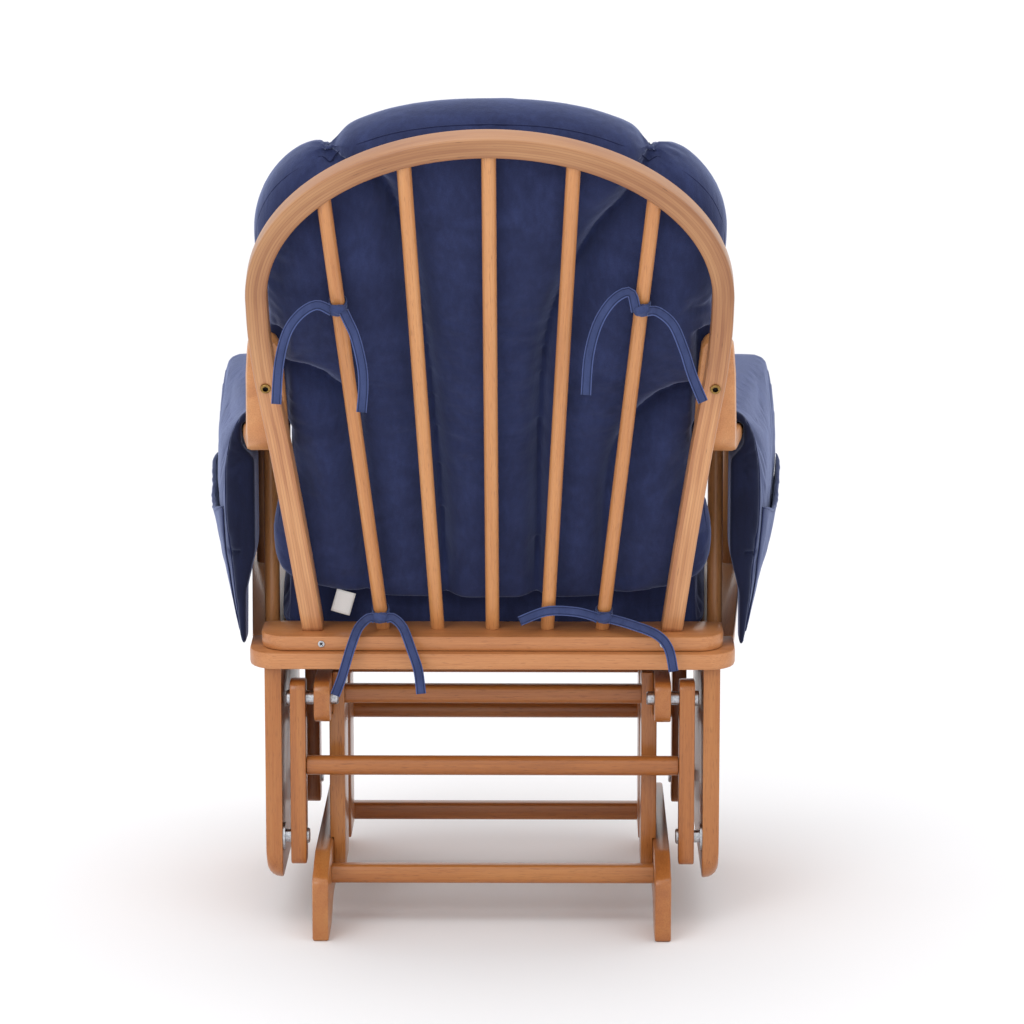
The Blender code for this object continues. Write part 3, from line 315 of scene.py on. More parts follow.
def stitch_tape(material):
    """Two rows of darker stitching 1.9 mm in from the edges of the tape, and a painted highlight on the rolled edges.
    """
    tree = material.node_tree
    shader = tree.nodes["Principled BSDF"]
    cloth_colour = shader.inputs["Base Color"].links[0].from_socket
    place = add_node(tree, "ShaderNodeAttribute", {"attribute_name": "tape"}).outputs["Fac"]
    out = add_node(tree, "ShaderNodeMath", {"operation": "ABSOLUTE"}, {0: place})
    pattern = blend_ramp(tree, out.outputs[0], ((0.10, "#ffffff"), (0.27, "#ffffff"), (0.33, "#7d8095"),
                                                (0.39, "#ffffff"), (0.50, "#ffffff")))
    mixed = add_node(tree, "ShaderNodeMix", {"data_type": "RGBA", "blend_type": "MULTIPLY", 0: 1.0},
                     {6: cloth_colour, 7: pattern})
    # Painted highlight: the rolled edges of the tape are painted paler blue.
    edge_highlight = add_node(tree, "ShaderNodeMapRange", {"From Min": 0.40, "From Max": 0.47, "To Max": 0.55},
                      {"Value": out.outputs[0]})
    edged = add_node(tree, "ShaderNodeMix", {"data_type": "RGBA", 7: linear("#5d6ea8")},
                     {0: edge_highlight.outputs[0], 6: mixed.outputs[2]})
    tree.links.new(edged.outputs[2], shader.inputs["Base Color"])


stitch_tape(tie_cloth)
# Painted shade: the seam rolls use a darker, duller copy of the cover cloth.
seam_shade_cloth = brushed_cloth("navy_cloth_painted_seam_shade", "#1f2750", "#181f42", "#121835", sheen=0.2, pile=1800.0)
print("cloth materials made")

# %% [markdown]
# **Small metal and tape.** The bolts in the hoop are brass-plated barrel nuts, turned and left satin.
# The pivots are zinc-plated steel, slightly cloudy. The label is a woven white satin tape.

# %% Metal and label materials
def plated_metal(name, colour, dull, rough):
    material, tree, shader = new_material(name)
    place = add_node(tree, "ShaderNodeTexCoord").outputs["Object"]
    cloud = add_node(tree, "ShaderNodeTexNoise", {"Scale": 420.0, "Detail": 3.0}, {"Vector": place})
    tree.links.new(blend_ramp(tree, cloud.outputs["Fac"], ((0.30, dull), (0.62, colour))),
                   shader.inputs["Base Color"])
    spread = add_node(tree, "ShaderNodeMapRange", {"To Min": rough - 0.08, "To Max": rough + 0.10},
                      {"Value": cloud.outputs["Fac"]})
    tree.links.new(spread.outputs[0], shader.inputs["Roughness"])
    shader.inputs["Metallic"].default_value = 1.0
    return material


def woven_tape():
    material, tree, shader = new_material("woven_label_tape")
    place = add_node(tree, "ShaderNodeTexCoord").outputs["Object"]
    # Rows of weft 0.8 mm apart, drawn twice as coarse as real ones.
    rows = add_node(tree, "ShaderNodeTexWave", {"Scale": 400.0, "bands_direction": "Z"}, {"Vector": place})
    tree.links.new(blend_ramp(tree, rows.outputs["Fac"], ((0.2, "#d9d8d6"), (0.8, "#f1f0ee"))),
                   shader.inputs["Base Color"])
    bump = add_node(tree, "ShaderNodeBump", {"Strength": 0.3, "Distance": 0.0003}, {"Height": rows.outputs["Fac"]})
    tree.links.new(bump.outputs[0], shader.inputs["Normal"])
    shader.inputs["Roughness"].default_value = 0.62
    return material


brass = plated_metal("satin_brass_plating", "#a5854f", "#7c5f31", 0.34)
steel = plated_metal("zinc_plated_steel", "#c9cbcf", "#9da0a6", 0.30)
# Painted shade: the insides of the hex sockets and cross slots are painted near-black.
socket_shade_paint = plated_metal("painted_socket_shade", "#2c2a28", "#1b1a19", 0.50)
label_tape = woven_tape()
print("metal and tape made")

# %% [markdown]
# Every new piece is made the same way: lists of points and faces become a mesh, the mesh becomes an
# object, and the object rides on a body of the frame, so that it moves when the chair glides. A swept
# piece (tape, piping, laminated wood) is a row of rings joined by quads and closed at both ends.

# %% Mesh helpers
def make_piece(name, points, faces, material, slot, body="seat"):
    mesh = bpy.data.meshes.new(name)
    mesh.from_pydata([tuple(p) for p in points], [], faces)
    mesh.update()
    mesh.polygons.foreach_set("use_smooth", [True] * len(mesh.polygons))
    mesh.materials.append(material)
    piece = bpy.data.objects.new(name, mesh)
    scene.collection.objects.link(piece)
    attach(piece, body)
    return piece


def join_rings(rings, loop=False):
    """Points and faces of a closed skin over equal rings; loop joins the last ring to the first."""
    size, count = len(rings[0]), len(rings)
    points = [p for ring in rings for p in ring]
    faces = []
    for i in range(count if loop else count - 1):
        here, there = i * size, (i + 1) % count * size
        for k in range(size):
            after = (k + 1) % size
            faces.append((here + k, here + after, there + after, there + k))
    if not loop:
        faces.append(tuple(reversed(range(size))))
        faces.append(tuple(range((count - 1) * size, count * size)))
    return points, faces


def smooth_curve(points, per_span):
    """A smooth curve through the given points."""
    given = [Vector(p) for p in points]
    out = []
    for i in range(len(given) - 1):
        a, b = given[max(i - 1, 0)], given[i]
        c, d = given[i + 1], given[min(i + 2, len(given) - 1)]
        for k in range(per_span):
            t = k / per_span
            out.append(0.5 * (2 * b + (c - a) * t + (2 * a - 5 * b + 4 * c - d) * t * t
                              + (3 * b - a - 3 * c + d) * t ** 3))
    return out + [given[-1]]


def line_length(points):
    return sum((points[i + 1] - points[i]).length for i in range(len(points) - 1))


def even_line(points, count):
    """The same line with its points an equal distance apart."""
    steps = np.array([tuple(p) for p in points])
    along = np.concatenate([[0.0], np.cumsum(np.linalg.norm(np.diff(steps, axis=0), axis=1))])
    wanted = np.linspace(0.0, along[-1], count)
    return [Vector([float(np.interp(w, along, steps[:, k])) for k in range(3)]) for w in wanted]


def sweep_section(line, faces_to, section):
    """Rings of a section (width, thickness) pairs carried along a line whose flat side faces faces_to."""
    rings = []
    for i, point in enumerate(line):
        along = (line[min(i + 1, len(line) - 1)] - line[max(i - 1, 0)]).normalized()
        outward = (faces_to[i] - along * along.dot(faces_to[i])).normalized()
        side = outward.cross(along)
        rings.append([point + side * w + outward * t for w, t in section])
    return rings


print("helpers ready")

# %% [markdown]
# **Ties.** Four cloth ties hold the back cushion to the spindles. Each is a strip of the cushion's own
# cloth, folded and stitched down both long edges, 11 mm wide. It goes once round a spindle, is knotted
# behind it, and two limp tails hang from the knot. A tail could be a curve with a flat bevel; here a
# section with two stitch grooves is swept along the line, because the grooves catch the light. The
# cloth is limp, so each tail leaves the knot sideways, bends over in a soft arc and hangs straight.

# %% Tails and knots
TAPE_WIDTH, TAPE_THICK, SPINDLE_RADIUS = 0.0114, 0.0017, 0.008
half_tape = [(0.50, 0.10), (0.47, 0.46), (0.39, 0.50), (0.33, 0.22), (0.27, 0.50), (0.0, 0.42)]
upper_face = half_tape + [(-w, t) for w, t in reversed(half_tape[:-1])]
TAPE = [(w * TAPE_WIDTH, t * TAPE_THICK) for w, t in upper_face + [(w, -t) for w, t in reversed(upper_face)]]
SPINDLE_FEET = (0.128, 0.064, 0.0, -0.064, -0.128)
FAN_SHARE, FAN_HEIGHT = 0.42, 0.60  # 0.60 m up, a spindle has moved out by 42% of its foot's place


def on_spindle(number, up, out=0.013):
    foot = SPINDLE_FEET[number - 1]
    return on_back(foot + foot * FAN_SHARE * up / FAN_HEIGHT, up, out)


def hang_tail(name, node, start, points, curl):
    """One tail from the knot to its cut end; curl turns its flat side as it falls."""
    slid = [start] + [Vector((x, y + SLIDE, z)) for x, y, z in points]
    line = even_line(smooth_curve(slid, 8), 30)
    outward = []
    for i in range(len(line)):
        share = i / (len(line) - 1)
        outward.append(Vector((curl * sin(pi * share * 0.9), 1.0, 0.45 * (1 - share))))
    rings = sweep_section(line, outward, TAPE)
    tail = make_piece(name, *join_rings(rings), tie_cloth, "navy_fabric")
    tape = tail.data.attributes.new("tape", "FLOAT", "POINT")
    tape.data.foreach_set("value", [w / TAPE_WIDTH for _ in rings for w, _ in TAPE])
    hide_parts(node)
    length = line_length(line)
    return length


def tie_knot(node, centre, lean):
    """A wrap round the spindle and a pinched knot behind it."""
    rings = []
    for k in range(40):
        turn = 2 * pi * k / 40
        outward = ACROSS * cos(turn) + BACK_OUT * sin(turn)
        wobble = 1.0 + 0.06 * sin(3 * turn)
        rise = BACK_UP * (0.0020 * sin(turn) * lean)
        radius = SPINDLE_RADIUS + 0.0014 + (0.0020 if sin(turn) < -0.6 else 0.0)
        rings.append([centre + rise + outward * (radius + t) + BACK_UP * (w * 0.86 * wobble) for w, t in TAPE])
    wrap_points, wrap_faces = join_rings(rings, loop=True)
    wrap = make_piece(node + "_wrap", wrap_points, wrap_faces, tie_cloth, "navy_fabric")
    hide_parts(node)
    middle = centre - BACK_OUT * (SPINDLE_RADIUS + 0.0052)
    knot_rings = []
    for i in range(1, 20):
        polar = pi * i / 20
        ring = []
        for k in range(36):
            turn = 2 * pi * k / 36
            fold = 1.0 + 0.11 * sin(5 * turn + 4.0 * cos(polar) * lean) + 0.05 * sin(9 * polar)
            pinch = 0.72 + 0.28 * abs(cos(polar)) ** 1.2
            ring.append(middle + ACROSS * (0.0098 * cos(polar))
                        + BACK_UP * (0.0072 * sin(polar) * cos(turn) * fold * pinch * 1.25)
                        - BACK_OUT * (0.0046 * sin(polar) * sin(turn) * fold))
        knot_rings.append(ring)
    knot = make_piece(node + "_knot", *join_rings(knot_rings), tie_cloth, "navy_fabric")
    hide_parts(node)
    return middle


# Spindle number, height up it, which way the knot leans, and the points of both tails.
tie_routes = {
    "tie_upper_left": (1, 0.444, 1, (
        ((0.1900, 0.353, 0.7590), (0.2080, 0.356, 0.7495), (0.2228, 0.358, 0.7290), (0.2319, 0.357, 0.6940),
         (0.2356, 0.355, 0.6490)),
        ((0.1560, 0.354, 0.7420), (0.1480, 0.356, 0.7240), (0.1409, 0.357, 0.6940), (0.1392, 0.356, 0.6700),
         (0.1416, 0.355, 0.6400)))),
    "tie_upper_right": (5, 0.444, -1, (
        ((-0.1560, 0.353, 0.7720), (-0.1450, 0.357, 0.7720), (-0.1310, 0.359, 0.7600), (-0.1180, 0.359, 0.7370),
         (-0.1093, 0.358, 0.7030), (-0.1062, 0.356, 0.6600)),
        ((-0.1850, 0.353, 0.7520), (-0.2017, 0.356, 0.7380), (-0.2140, 0.358, 0.7100), (-0.2231, 0.357, 0.6820),
         (-0.2355, 0.355, 0.6520)))),
    "tie_lower_left": (1, 0.022, 1, (
        ((0.1430, 0.170, 0.3700), (0.1540, 0.186, 0.3620), (0.1625, 0.2015, 0.3420), (0.1728, 0.2050, 0.3080),
         (0.1810, 0.2050, 0.2860)),
        ((0.1150, 0.170, 0.3700), (0.1030, 0.186, 0.3620), (0.0930, 0.2015, 0.3400), (0.0850, 0.2050, 0.3160),
         (0.0816, 0.2050, 0.2880)))),
    "tie_lower_right": (5, 0.022, -1, (
        ((-0.1160, 0.1650, 0.3720), (-0.0944, 0.1700, 0.3780), (-0.0626, 0.1740, 0.3790),
         (-0.0319, 0.1720, 0.3670)),
        ((-0.1430, 0.1700, 0.3680), (-0.1620, 0.1830, 0.3650), (-0.1896, 0.1980, 0.3570),
         (-0.2036, 0.2040, 0.3420), (-0.2096, 0.2050, 0.3150)))),
}
for node, (spindle, up, side, routes) in tie_routes.items():
    middle = tie_knot(node, on_spindle(spindle, up), side)
    for word, route in zip(("outer", "inner"), routes):
        across = -1 if route[-1][0] < middle.x else 1
        start = middle + ACROSS * (across * 0.0065) - BACK_OUT * 0.0012
        length = hang_tail(f"{node}_{word}_tail", node, start, route, 0.22 * across)
        print(node, word, "tail", round(length * 1000), "mm")

# %% [markdown]
# **Solid wood parts.** The CAD parts already have the right shape, so they stay, and only get a grain
# direction and a finish. The sawmill cuts a part along its length, and the longest direction of the
# part's points finds that by itself. The frame's meshes are split at every face, so a Weld modifier
# joins them again, and edges sharper than 35 degrees are marked sharp while everything else shades
# smooth: round bars look turned and boards keep crisp edges.

# %% Grain direction and smooth shading for the CAD wood
CRISP = cos(radians(35))


def end_places(mesh, pair):
    """The two ends of an edge, rounded to 0.02 mm, so that split edges in one place match."""
    return frozenset(tuple(round(c * 50000) for c in mesh.vertices[v].co) for v in pair)


def join_and_smooth(node):
    """Weld a CAD node's split faces and shade it smooth up to 35 degrees, without moving a point."""
    mesh = frame["nodes"][node].data
    if "custom_normal" in mesh.attributes:
        mesh.attributes.remove(mesh.attributes["custom_normal"])
    corners = {}
    for polygon in mesh.polygons:
        for pair in polygon.edge_keys:
            corners.setdefault(end_places(mesh, pair), []).append(polygon.normal.copy())
    sharp = []
    for edge in mesh.edges:
        sides = corners.get(end_places(mesh, edge.vertices), [])
        sharp.append(len(sides) < 2 or sides[0].dot(sides[1]) < CRISP)
    mark = mesh.attributes.get("sharp_edge") or mesh.attributes.new("sharp_edge", "BOOLEAN", "EDGE")
    mark.data.foreach_set("value", sharp)
    mesh.polygons.foreach_set("use_smooth", [True] * len(mesh.polygons))
    weld = frame["nodes"][node].modifiers.new("join_faces", "WELD")
    weld.merge_threshold = 0.00002


def give_grain(mesh, coordinates, luck):
    """Store grain coordinates, moved by a random amount, and one random tone for the whole piece."""
    offset = np.array([luck.uniform(0, 9), luck.uniform(0, 9), luck.uniform(0, 9)])
    grain = mesh.attributes.new("grain", "FLOAT_VECTOR", "POINT")
    grain.data.foreach_set("vector", (coordinates + offset).astype(np.float32).ravel())
    tone = mesh.attributes.new("tone", "FLOAT", "POINT")
    tone.data.foreach_set("value", np.full(len(mesh.vertices), luck.uniform(-0.5, 0.5), np.float32))


def point_array(mesh):
    flat = np.empty(len(mesh.vertices) * 3)
    mesh.vertices.foreach_get("co", flat)
    return flat.reshape(-1, 3)


# %% [markdown]
# The grain is stored once per piece. Its first direction is the longest one that the points spread
# along; side panels are the exception, because they are sawn with the grain upright. The base, the
# swings and the side panels take the darker copy as painted shade, and the wide boards the half-shaded copy.

# %% Dress the CAD wood
def dress_wood(node, material, luck, along=None):
    """Give one CAD part its grain, its smooth shading and its finish."""
    points = point_array(frame["nodes"][node].data)
    if along is None:
        spread = points - points.mean(axis=0)
        _, directions = np.linalg.eigh(spread.T @ spread)
        along = directions[:, 2]
    first = np.array(along) / np.linalg.norm(along)
    helper = np.array([0.0, 0.0, 1.0]) if abs(first[2]) < 0.8 else np.array([1.0, 0.0, 0.0])
    second = np.cross(first, helper)
    second /= np.linalg.norm(second)
    third = np.cross(first, second)
    give_grain(frame["nodes"][node].data, points @ np.array([first, second, third]).T, luck)
    join_and_smooth(node)
    for slot in frame["nodes"][node].material_slots:
        slot.material = material


luck = Random(11)
wood_words = ("runner", "top_rail", "upright", "stretcher", "swing_arm", "swing_bar", "side_panel", "seat_",
              "back_rail", "spindle", "arm_left", "arm_right", "post")
wooden = [n for n in sorted(frame["nodes"]) if any(w in n for w in wood_words) and "cushion" not in n
          and "pad" not in n and "pivot" not in n]
shaded_low_parts = ("runner", "top_rail", "upright", "stretcher", "swing", "side_panel")
boards = ("seat_rear_board", "seat_front_board", "back_rail", "side_board", "slat")
for node in wooden:
    upright_grain = (0, 0, 1) if "side_panel" in node else None
    # Parts low down and under the seat take the darker copy as painted shade; the deck boards take the half-shaded
    # copy.
    finish = painted_shade_wood if any(w in node for w in shaded_low_parts) else honey_wood
    finish = half_shade_board_wood if any(w in node for w in boards) else finish
    dress_wood(node, finish, luck, upright_grain)
print(len(wooden), "wooden CAD parts dressed")

# %% [markdown]
# **The hoop.** It could be the CAD solid with a finish, but its curve is the first thing the eye
# follows, so it is swept again with many more facets on the same centre line and the same
# 24 by 26 mm section. The sweep is also what knows where each veneer is, so it can count them.

# %% Bent hoop
HOOP_WIDTH, HOOP_DEPTH, HOOP_SPRING, HOOP_HALF, HOOP_RISE = 0.024, 0.026, 0.455, 0.2575, 0.193
leg = smooth_curve([(0.209, 0, 0), (0.221, 0.110, 0), (0.2365, 0.240, 0), (0.246, 0.310, 0), (0.252, 0.355, 0),
                    (0.2565, 0.410, 0), (HOOP_HALF, HOOP_SPRING, 0)], 8)
arch = [Vector((HOOP_HALF * cos(pi / 2 * k / 60), HOOP_SPRING + HOOP_RISE * sin(pi / 2 * k / 60), 0))
        for k in range(1, 61)]
half_hoop = leg + arch
hoop_line = half_hoop + [Vector((-p.x, p.y, 0)) for p in reversed(half_hoop[:-1])]
corner_cut, veneer_thick = 0.0032, 0.003
section = []
for u_side, v_side, start in ((1, 1, 0), (-1, 1, 90), (-1, -1, 180), (1, -1, 270)):
    for k in range(5):
        angle = radians(start + 22.5 * k)
        section.append((u_side * (HOOP_WIDTH / 2 - corner_cut) + corner_cut * cos(angle),
                        v_side * (HOOP_DEPTH / 2 - corner_cut) + corner_cut * sin(angle)))
rail_top = on_deck(0, 0, 0.0003 + 0.018 + 0.0003)
hoop_points, hoop_grain, hoop_ply, travelled = [], [], [], 0.0
for i, p in enumerate(hoop_line):
    before, after = hoop_line[max(i - 1, 0)], hoop_line[min(i + 1, len(hoop_line) - 1)]
    along = (after - before).normalized()
    outward = Vector((along.y, -along.x, 0))
    travelled += (p - before).length
    for u, v in section:
        point = on_back(p.x + outward.x * u, p.y + outward.y * u, HOOP_DEPTH / 2 + v)
        if i in (0, len(hoop_line) - 1):
            run = ACROSS * along.x + BACK_UP * along.y
            point += run * ((rail_top - point).dot(DECK_UP) / run.dot(DECK_UP))
        hoop_points.append(point)
        hoop_grain.append((travelled, u, v))
        hoop_ply.append((u + HOOP_WIDTH / 2) / veneer_thick + 0.2)
size = len(section)
rings = [hoop_points[i * size:(i + 1) * size] for i in range(len(hoop_line))]
points, faces = join_rings(rings)
hoop = make_piece("bent_hoop", points, faces, laminated_wood, "honey_wood")
give_grain(hoop.data, np.array(hoop_grain), luck)
ply = hoop.data.attributes.new("ply", "FLOAT", "POINT")
ply.data.foreach_set("value", np.array(hoop_ply, np.float32))
up_the_back = (point_array(hoop.data) - np.array(BACK_FOOT)) @ np.array(BACK_UP)
crown = hoop.data.attributes.new("crown", "FLOAT", "POINT")
crown.data.foreach_set("value", np.clip((up_the_back - 0.30) / 0.16, 0.0, 1.0).astype(np.float32))
for polygon in hoop.data.polygons:
    if len(polygon.vertices) > 4:
        polygon.use_smooth = False
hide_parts("hoop")
print("hoop", len(faces), "faces,", round(travelled, 2), "m of laminate")

# %% [markdown]
# **Fittings.** A furniture bolt in the rear of each hoop leg is a round brass head with a hexagon
# socket. It could be a disc with a painted hole, but the socket is what makes it read as a bolt, so
# the head is turned as a profile whose inner rings fall into a real hexagon. The rail screws have a
# countersunk head with a cross slot cut the same way. Heads are lathed round their own axis.

# %% Bolt and screw heads
def socket_head(name, node, radius, high, socket, sides, metal, slot):
    """A lathed head over a CAD fastener, with a hexagon socket (6 sides) or a cross slot (4)."""
    low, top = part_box(node)
    centre = (low + top) / 2
    cad = point_array(frame["nodes"][node].data)
    spread = cad - cad.mean(axis=0)
    _, directions = np.linalg.eigh(spread.T @ spread)
    out = Vector(directions[:, 0])
    if out.y < 0:
        out = -out
    first = out.orthogonal().normalized()
    second = out.cross(first)
    base = centre - out * (high / 2)
    count = 48
    profile = [(radius * 0.96, 0.0), (radius, high * 0.25), (radius, high * 0.62), (radius * 0.93, high * 0.90),
               (radius * 0.82, high), (radius * 0.66, high * 0.97)]
    rings = [[base + out * h + (first * cos(2 * pi * k / count) + second * sin(2 * pi * k / count)) * r
              for k in range(count)] for r, h in profile]
    for reach, h in ((1.0, high * 0.96), (0.96, high * 0.85), (0.94, high * 0.10)):
        ring = []
        for k in range(count):
            angle = 2 * pi * k / count
            wedge = (angle + pi / sides) % (2 * pi / sides) - pi / sides
            if sides == 6:
                r = socket * reach / cos(wedge)
            else:
                r = socket * reach * (1.0 if abs(wedge) < 0.30 else 0.42)
            ring.append(base + out * h + (first * cos(angle) + second * sin(angle)) * r)
        rings.append(ring)
    points, faces = join_rings(rings)
    head = make_piece(name, points, faces, metal, slot)
    # The inside of the socket or slot gets the near-black painted shade.
    head.data.materials.append(socket_shade_paint)
    inside = len(profile) * count
    for polygon in head.data.polygons:
        if min(polygon.vertices) >= inside:
            polygon.material_index = 1
            polygon.use_smooth = False
    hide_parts(node)


for side in ("left", "right"):
    socket_head("hoop_bolt_head_" + side, "hoop_bolt_" + side, 0.0060, 0.0030, 0.0030, 6, brass, "brass")
    socket_head("rail_screw_head_" + side, "rail_screw_" + side, 0.0040, 0.0016, 0.0023, 4, steel, "steel")
for node in sorted(frame["nodes"]):
    if "pivot" in node:
        join_and_smooth(node)
        for slot in frame["nodes"][node].material_slots:
            slot.material = steel
print("fittings made")

# %% [markdown]
# **How the stuffed pieces are made.** A cushion is a cloth cover filled with fibre: it wants to swell
# everywhere, and its seams and neighbours hold it back. So each one starts as a plain closed shape a
# little smaller than the real one, is remeshed into even small faces, and is blown up with Blender's
# cloth simulation without gravity. Points on seams are pinned, which makes the panels between them
# puff up by themselves. How far a point may travel is capped, and points that would enter wood are
# put back. Sculpting by hand could give the same shape, but the simulation also gives the uneven
# pulls and small wrinkles that tell the eye it is cloth.

# %% Stuffing helpers
def distance_to_line(points, line):
    """Shortest distance of each 2D point to a line of 2D points."""
    best = np.full(len(points), 9.0)
    for a, b in zip(line[:-1], line[1:]):
        a, b = np.array(a), np.array(b)
        run = b - a
        share = np.clip(((points - a) @ run) / max(run @ run, 1e-12), 0, 1)
        best = np.minimum(best, np.linalg.norm(points - (a + share[:, None] * run), axis=1))
    return best


def remesh(piece, size):
    modifier = piece.modifiers.new("even_faces", "REMESH")
    modifier.mode = "VOXEL"
    modifier.voxel_size = size
    modifier.use_smooth_shade = True
    bake_modifiers(piece)


def bake_modifiers(piece):
    """Replace the piece's mesh by what its modifiers make of it."""
    view = bpy.context.evaluated_depsgraph_get()
    made = bpy.data.meshes.new_from_object(piece.evaluated_get(view))
    piece.modifiers.clear()
    piece.data = made


def stuff(piece, pressure, cap, held, frames=20):
    """Blow the piece up; held is a 0 to 1 array of how firmly each point is sewn down."""
    group = piece.vertex_groups.new(name="sewn")
    for level in np.unique(np.round(held, 1)):
        if level > 0:
            group.add([int(i) for i in np.flatnonzero(np.round(held, 1) == level)], float(level), "REPLACE")
    cloth = piece.modifiers.new("stuffing", "CLOTH")
    settings = cloth.settings
    settings.quality = 4
    settings.mass = 0.25
    settings.tension_stiffness = 22
    settings.compression_stiffness = 12
    settings.shear_stiffness = 6
    settings.bending_stiffness = 0.6
    settings.use_pressure = True
    settings.uniform_pressure_force = pressure
    settings.effector_weights.gravity = 0.0
    settings.vertex_group_mass = "sewn"
    cloth.collision_settings.use_self_collision = False
    cloth.point_cache.frame_start, cloth.point_cache.frame_end = 1, frames
    before = point_array(piece.data)
    for step in range(1, frames + 1):
        scene.frame_set(step)
    view = bpy.context.evaluated_depsgraph_get()
    after = point_array(piece.evaluated_get(view).data)
    piece.modifiers.clear()
    piece.vertex_groups.clear()
    scene.frame_set(1)
    travel = after - before
    size = np.linalg.norm(travel, axis=1, keepdims=True)
    after = before + travel * np.minimum(1.0, cap / np.maximum(size, 1e-9))
    piece.data.vertices.foreach_set("co", after.ravel())
    print(piece.name, "swelled", round(float(np.median(np.minimum(size, cap))) * 1000, 1), "mm at the median")


def place_points(piece, points):
    piece.data.vertices.foreach_set("co", np.asarray(points, float).ravel())
    piece.data.update()


def refine(piece):
    modifier = piece.modifiers.new("smooth_once", "SUBSURF")
    modifier.levels = modifier.render_levels = 1
    bake_modifiers(piece)
    piece.data.polygons.foreach_set("use_smooth", [True] * len(piece.data.polygons))


def ramp(value, low, high):
    share = np.clip((value - low) / (high - low), 0.0, 1.0)
    return share * share * (3 - 2 * share)


def waves(seed, count, low, high):
    """A few random plane waves: direction, length in metres and phase, the same on every run."""
    luck = Random(seed)
    return [(luck.uniform(-0.35, 0.35), luck.uniform(low, high), luck.uniform(0, 6.28), luck.uniform(0.5, 1.0))
            for _ in range(count)]


def creases(across, up, recipe):
    """Sharp-crested ripples that run across; crests are narrow and hollows are wide, as cloth folds."""
    total = np.zeros(len(across))
    for tilt, length, phase, share in recipe:
        wave = np.sin((up + tilt * across) * 2 * pi / length + phase + 2.1 * np.sin(across * 31 + phase))
        total += share * (np.abs(wave) ** 3 * np.sign(wave))
    return total / len(recipe)


print("stuffing helpers ready")

# %% [markdown]
# **Back cushion.** It is cut like a vase and two wings: a middle panel whose seams run up from the
# bottom and flare out to the top edge, and a wing on each side that bulges past the hoop. Below each
# wing the cover turns under along an arc, and a lower lobe shows. Where the long seams meet the top
# edge the cloth is gathered, which pulls a notch with short pleats into the outline. The cushion is
# first drawn flat on the back's own plane, as its outline, then given its rounded edge.

# %% Back cushion outline
half_outline = [(0.0, 0.012), (0.060, 0.012), (0.110, 0.014), (0.160, 0.020), (0.200, 0.027), (0.232, 0.037),
                (0.2500, 0.052), (0.2550, 0.075), (0.2540, 0.105), (0.2470, 0.150), (0.2380, 0.200),
                (0.2370, 0.250), (0.2430, 0.300), (0.2490, 0.345), (0.2530, 0.385), (0.2570, 0.420),
                (0.2620, 0.455), (0.2650, 0.488), (0.2630, 0.520), (0.2530, 0.548), (0.2390, 0.570),
                (0.2210, 0.588), (0.2020, 0.599), (0.1870, 0.603), (0.1780, 0.596), (0.1720, 0.605),
                (0.1600, 0.619), (0.1380, 0.630), (0.1100, 0.640), (0.0750, 0.6475), (0.0380, 0.6515),
                (0.0, 0.6525)]
dense_half = [(p.x, p.y) for p in smooth_curve([(x, up, 0) for x, up in half_outline], 3)]
outline = dense_half + [(-x, up) for x, up in reversed(dense_half[1:-1])]
middle_left = [(0.053, 0.026), (0.058, 0.165), (0.0665, 0.305), (0.076, 0.400), (0.088, 0.490), (0.103, 0.550),
               (0.119, 0.585), (0.150, 0.594), (0.178, 0.598)]
middle_right = [(-0.050, 0.026), (-0.0515, 0.130), (-0.053, 0.238), (-0.061, 0.373), (-0.083, 0.452),
                (-0.115, 0.520), (-0.1475, 0.560), (-0.165, 0.584), (-0.178, 0.598)]
lobe_left = [(0.250, 0.343), (0.231, 0.3435), (0.200, 0.3372), (0.172, 0.316), (0.159, 0.290), (0.152, 0.240),
             (0.147, 0.160), (0.1438, 0.029)]
lobe_right = [(-0.250, 0.318), (-0.2351, 0.3172), (-0.2059, 0.3131), (-0.1748, 0.2913), (-0.1515, 0.2578),
              (-0.1362, 0.2075), (-0.1309, 0.1136), (-0.1382, 0.0277)]
seams = [[(p.x, p.y) for p in smooth_curve([(x, up, 0) for x, up in line], 5)]
         for line in (middle_left, middle_right, lobe_left, lobe_right)]
print("outline has", len(outline), "points and the cover", len(seams), "seams")

# %% [markdown]
# **Room for the cushion.** A stuffed cover presses on everything near it, and a simulation with a
# collision body for each stick would be slow. The wood is simple enough to be written as limits
# instead: how far out of the back a point has to stay near the hoop or a spindle, and how wide the
# cushion may be between the arms.

# %% Room for the cushion
def back_frame(points):
    local = points - np.array(BACK_FOOT)
    return local @ np.array(ACROSS), local @ np.array(BACK_UP), local @ np.array(BACK_OUT)


def from_back_frame(across, up, out):
    return (np.array(BACK_FOOT) + across[:, None] * np.array(ACROSS) + up[:, None] * np.array(BACK_UP)
            + out[:, None] * np.array(BACK_OUT))


def seam_distances(across, up):
    flat = np.column_stack([across, up])
    return [distance_to_line(flat, line) for line in seams]


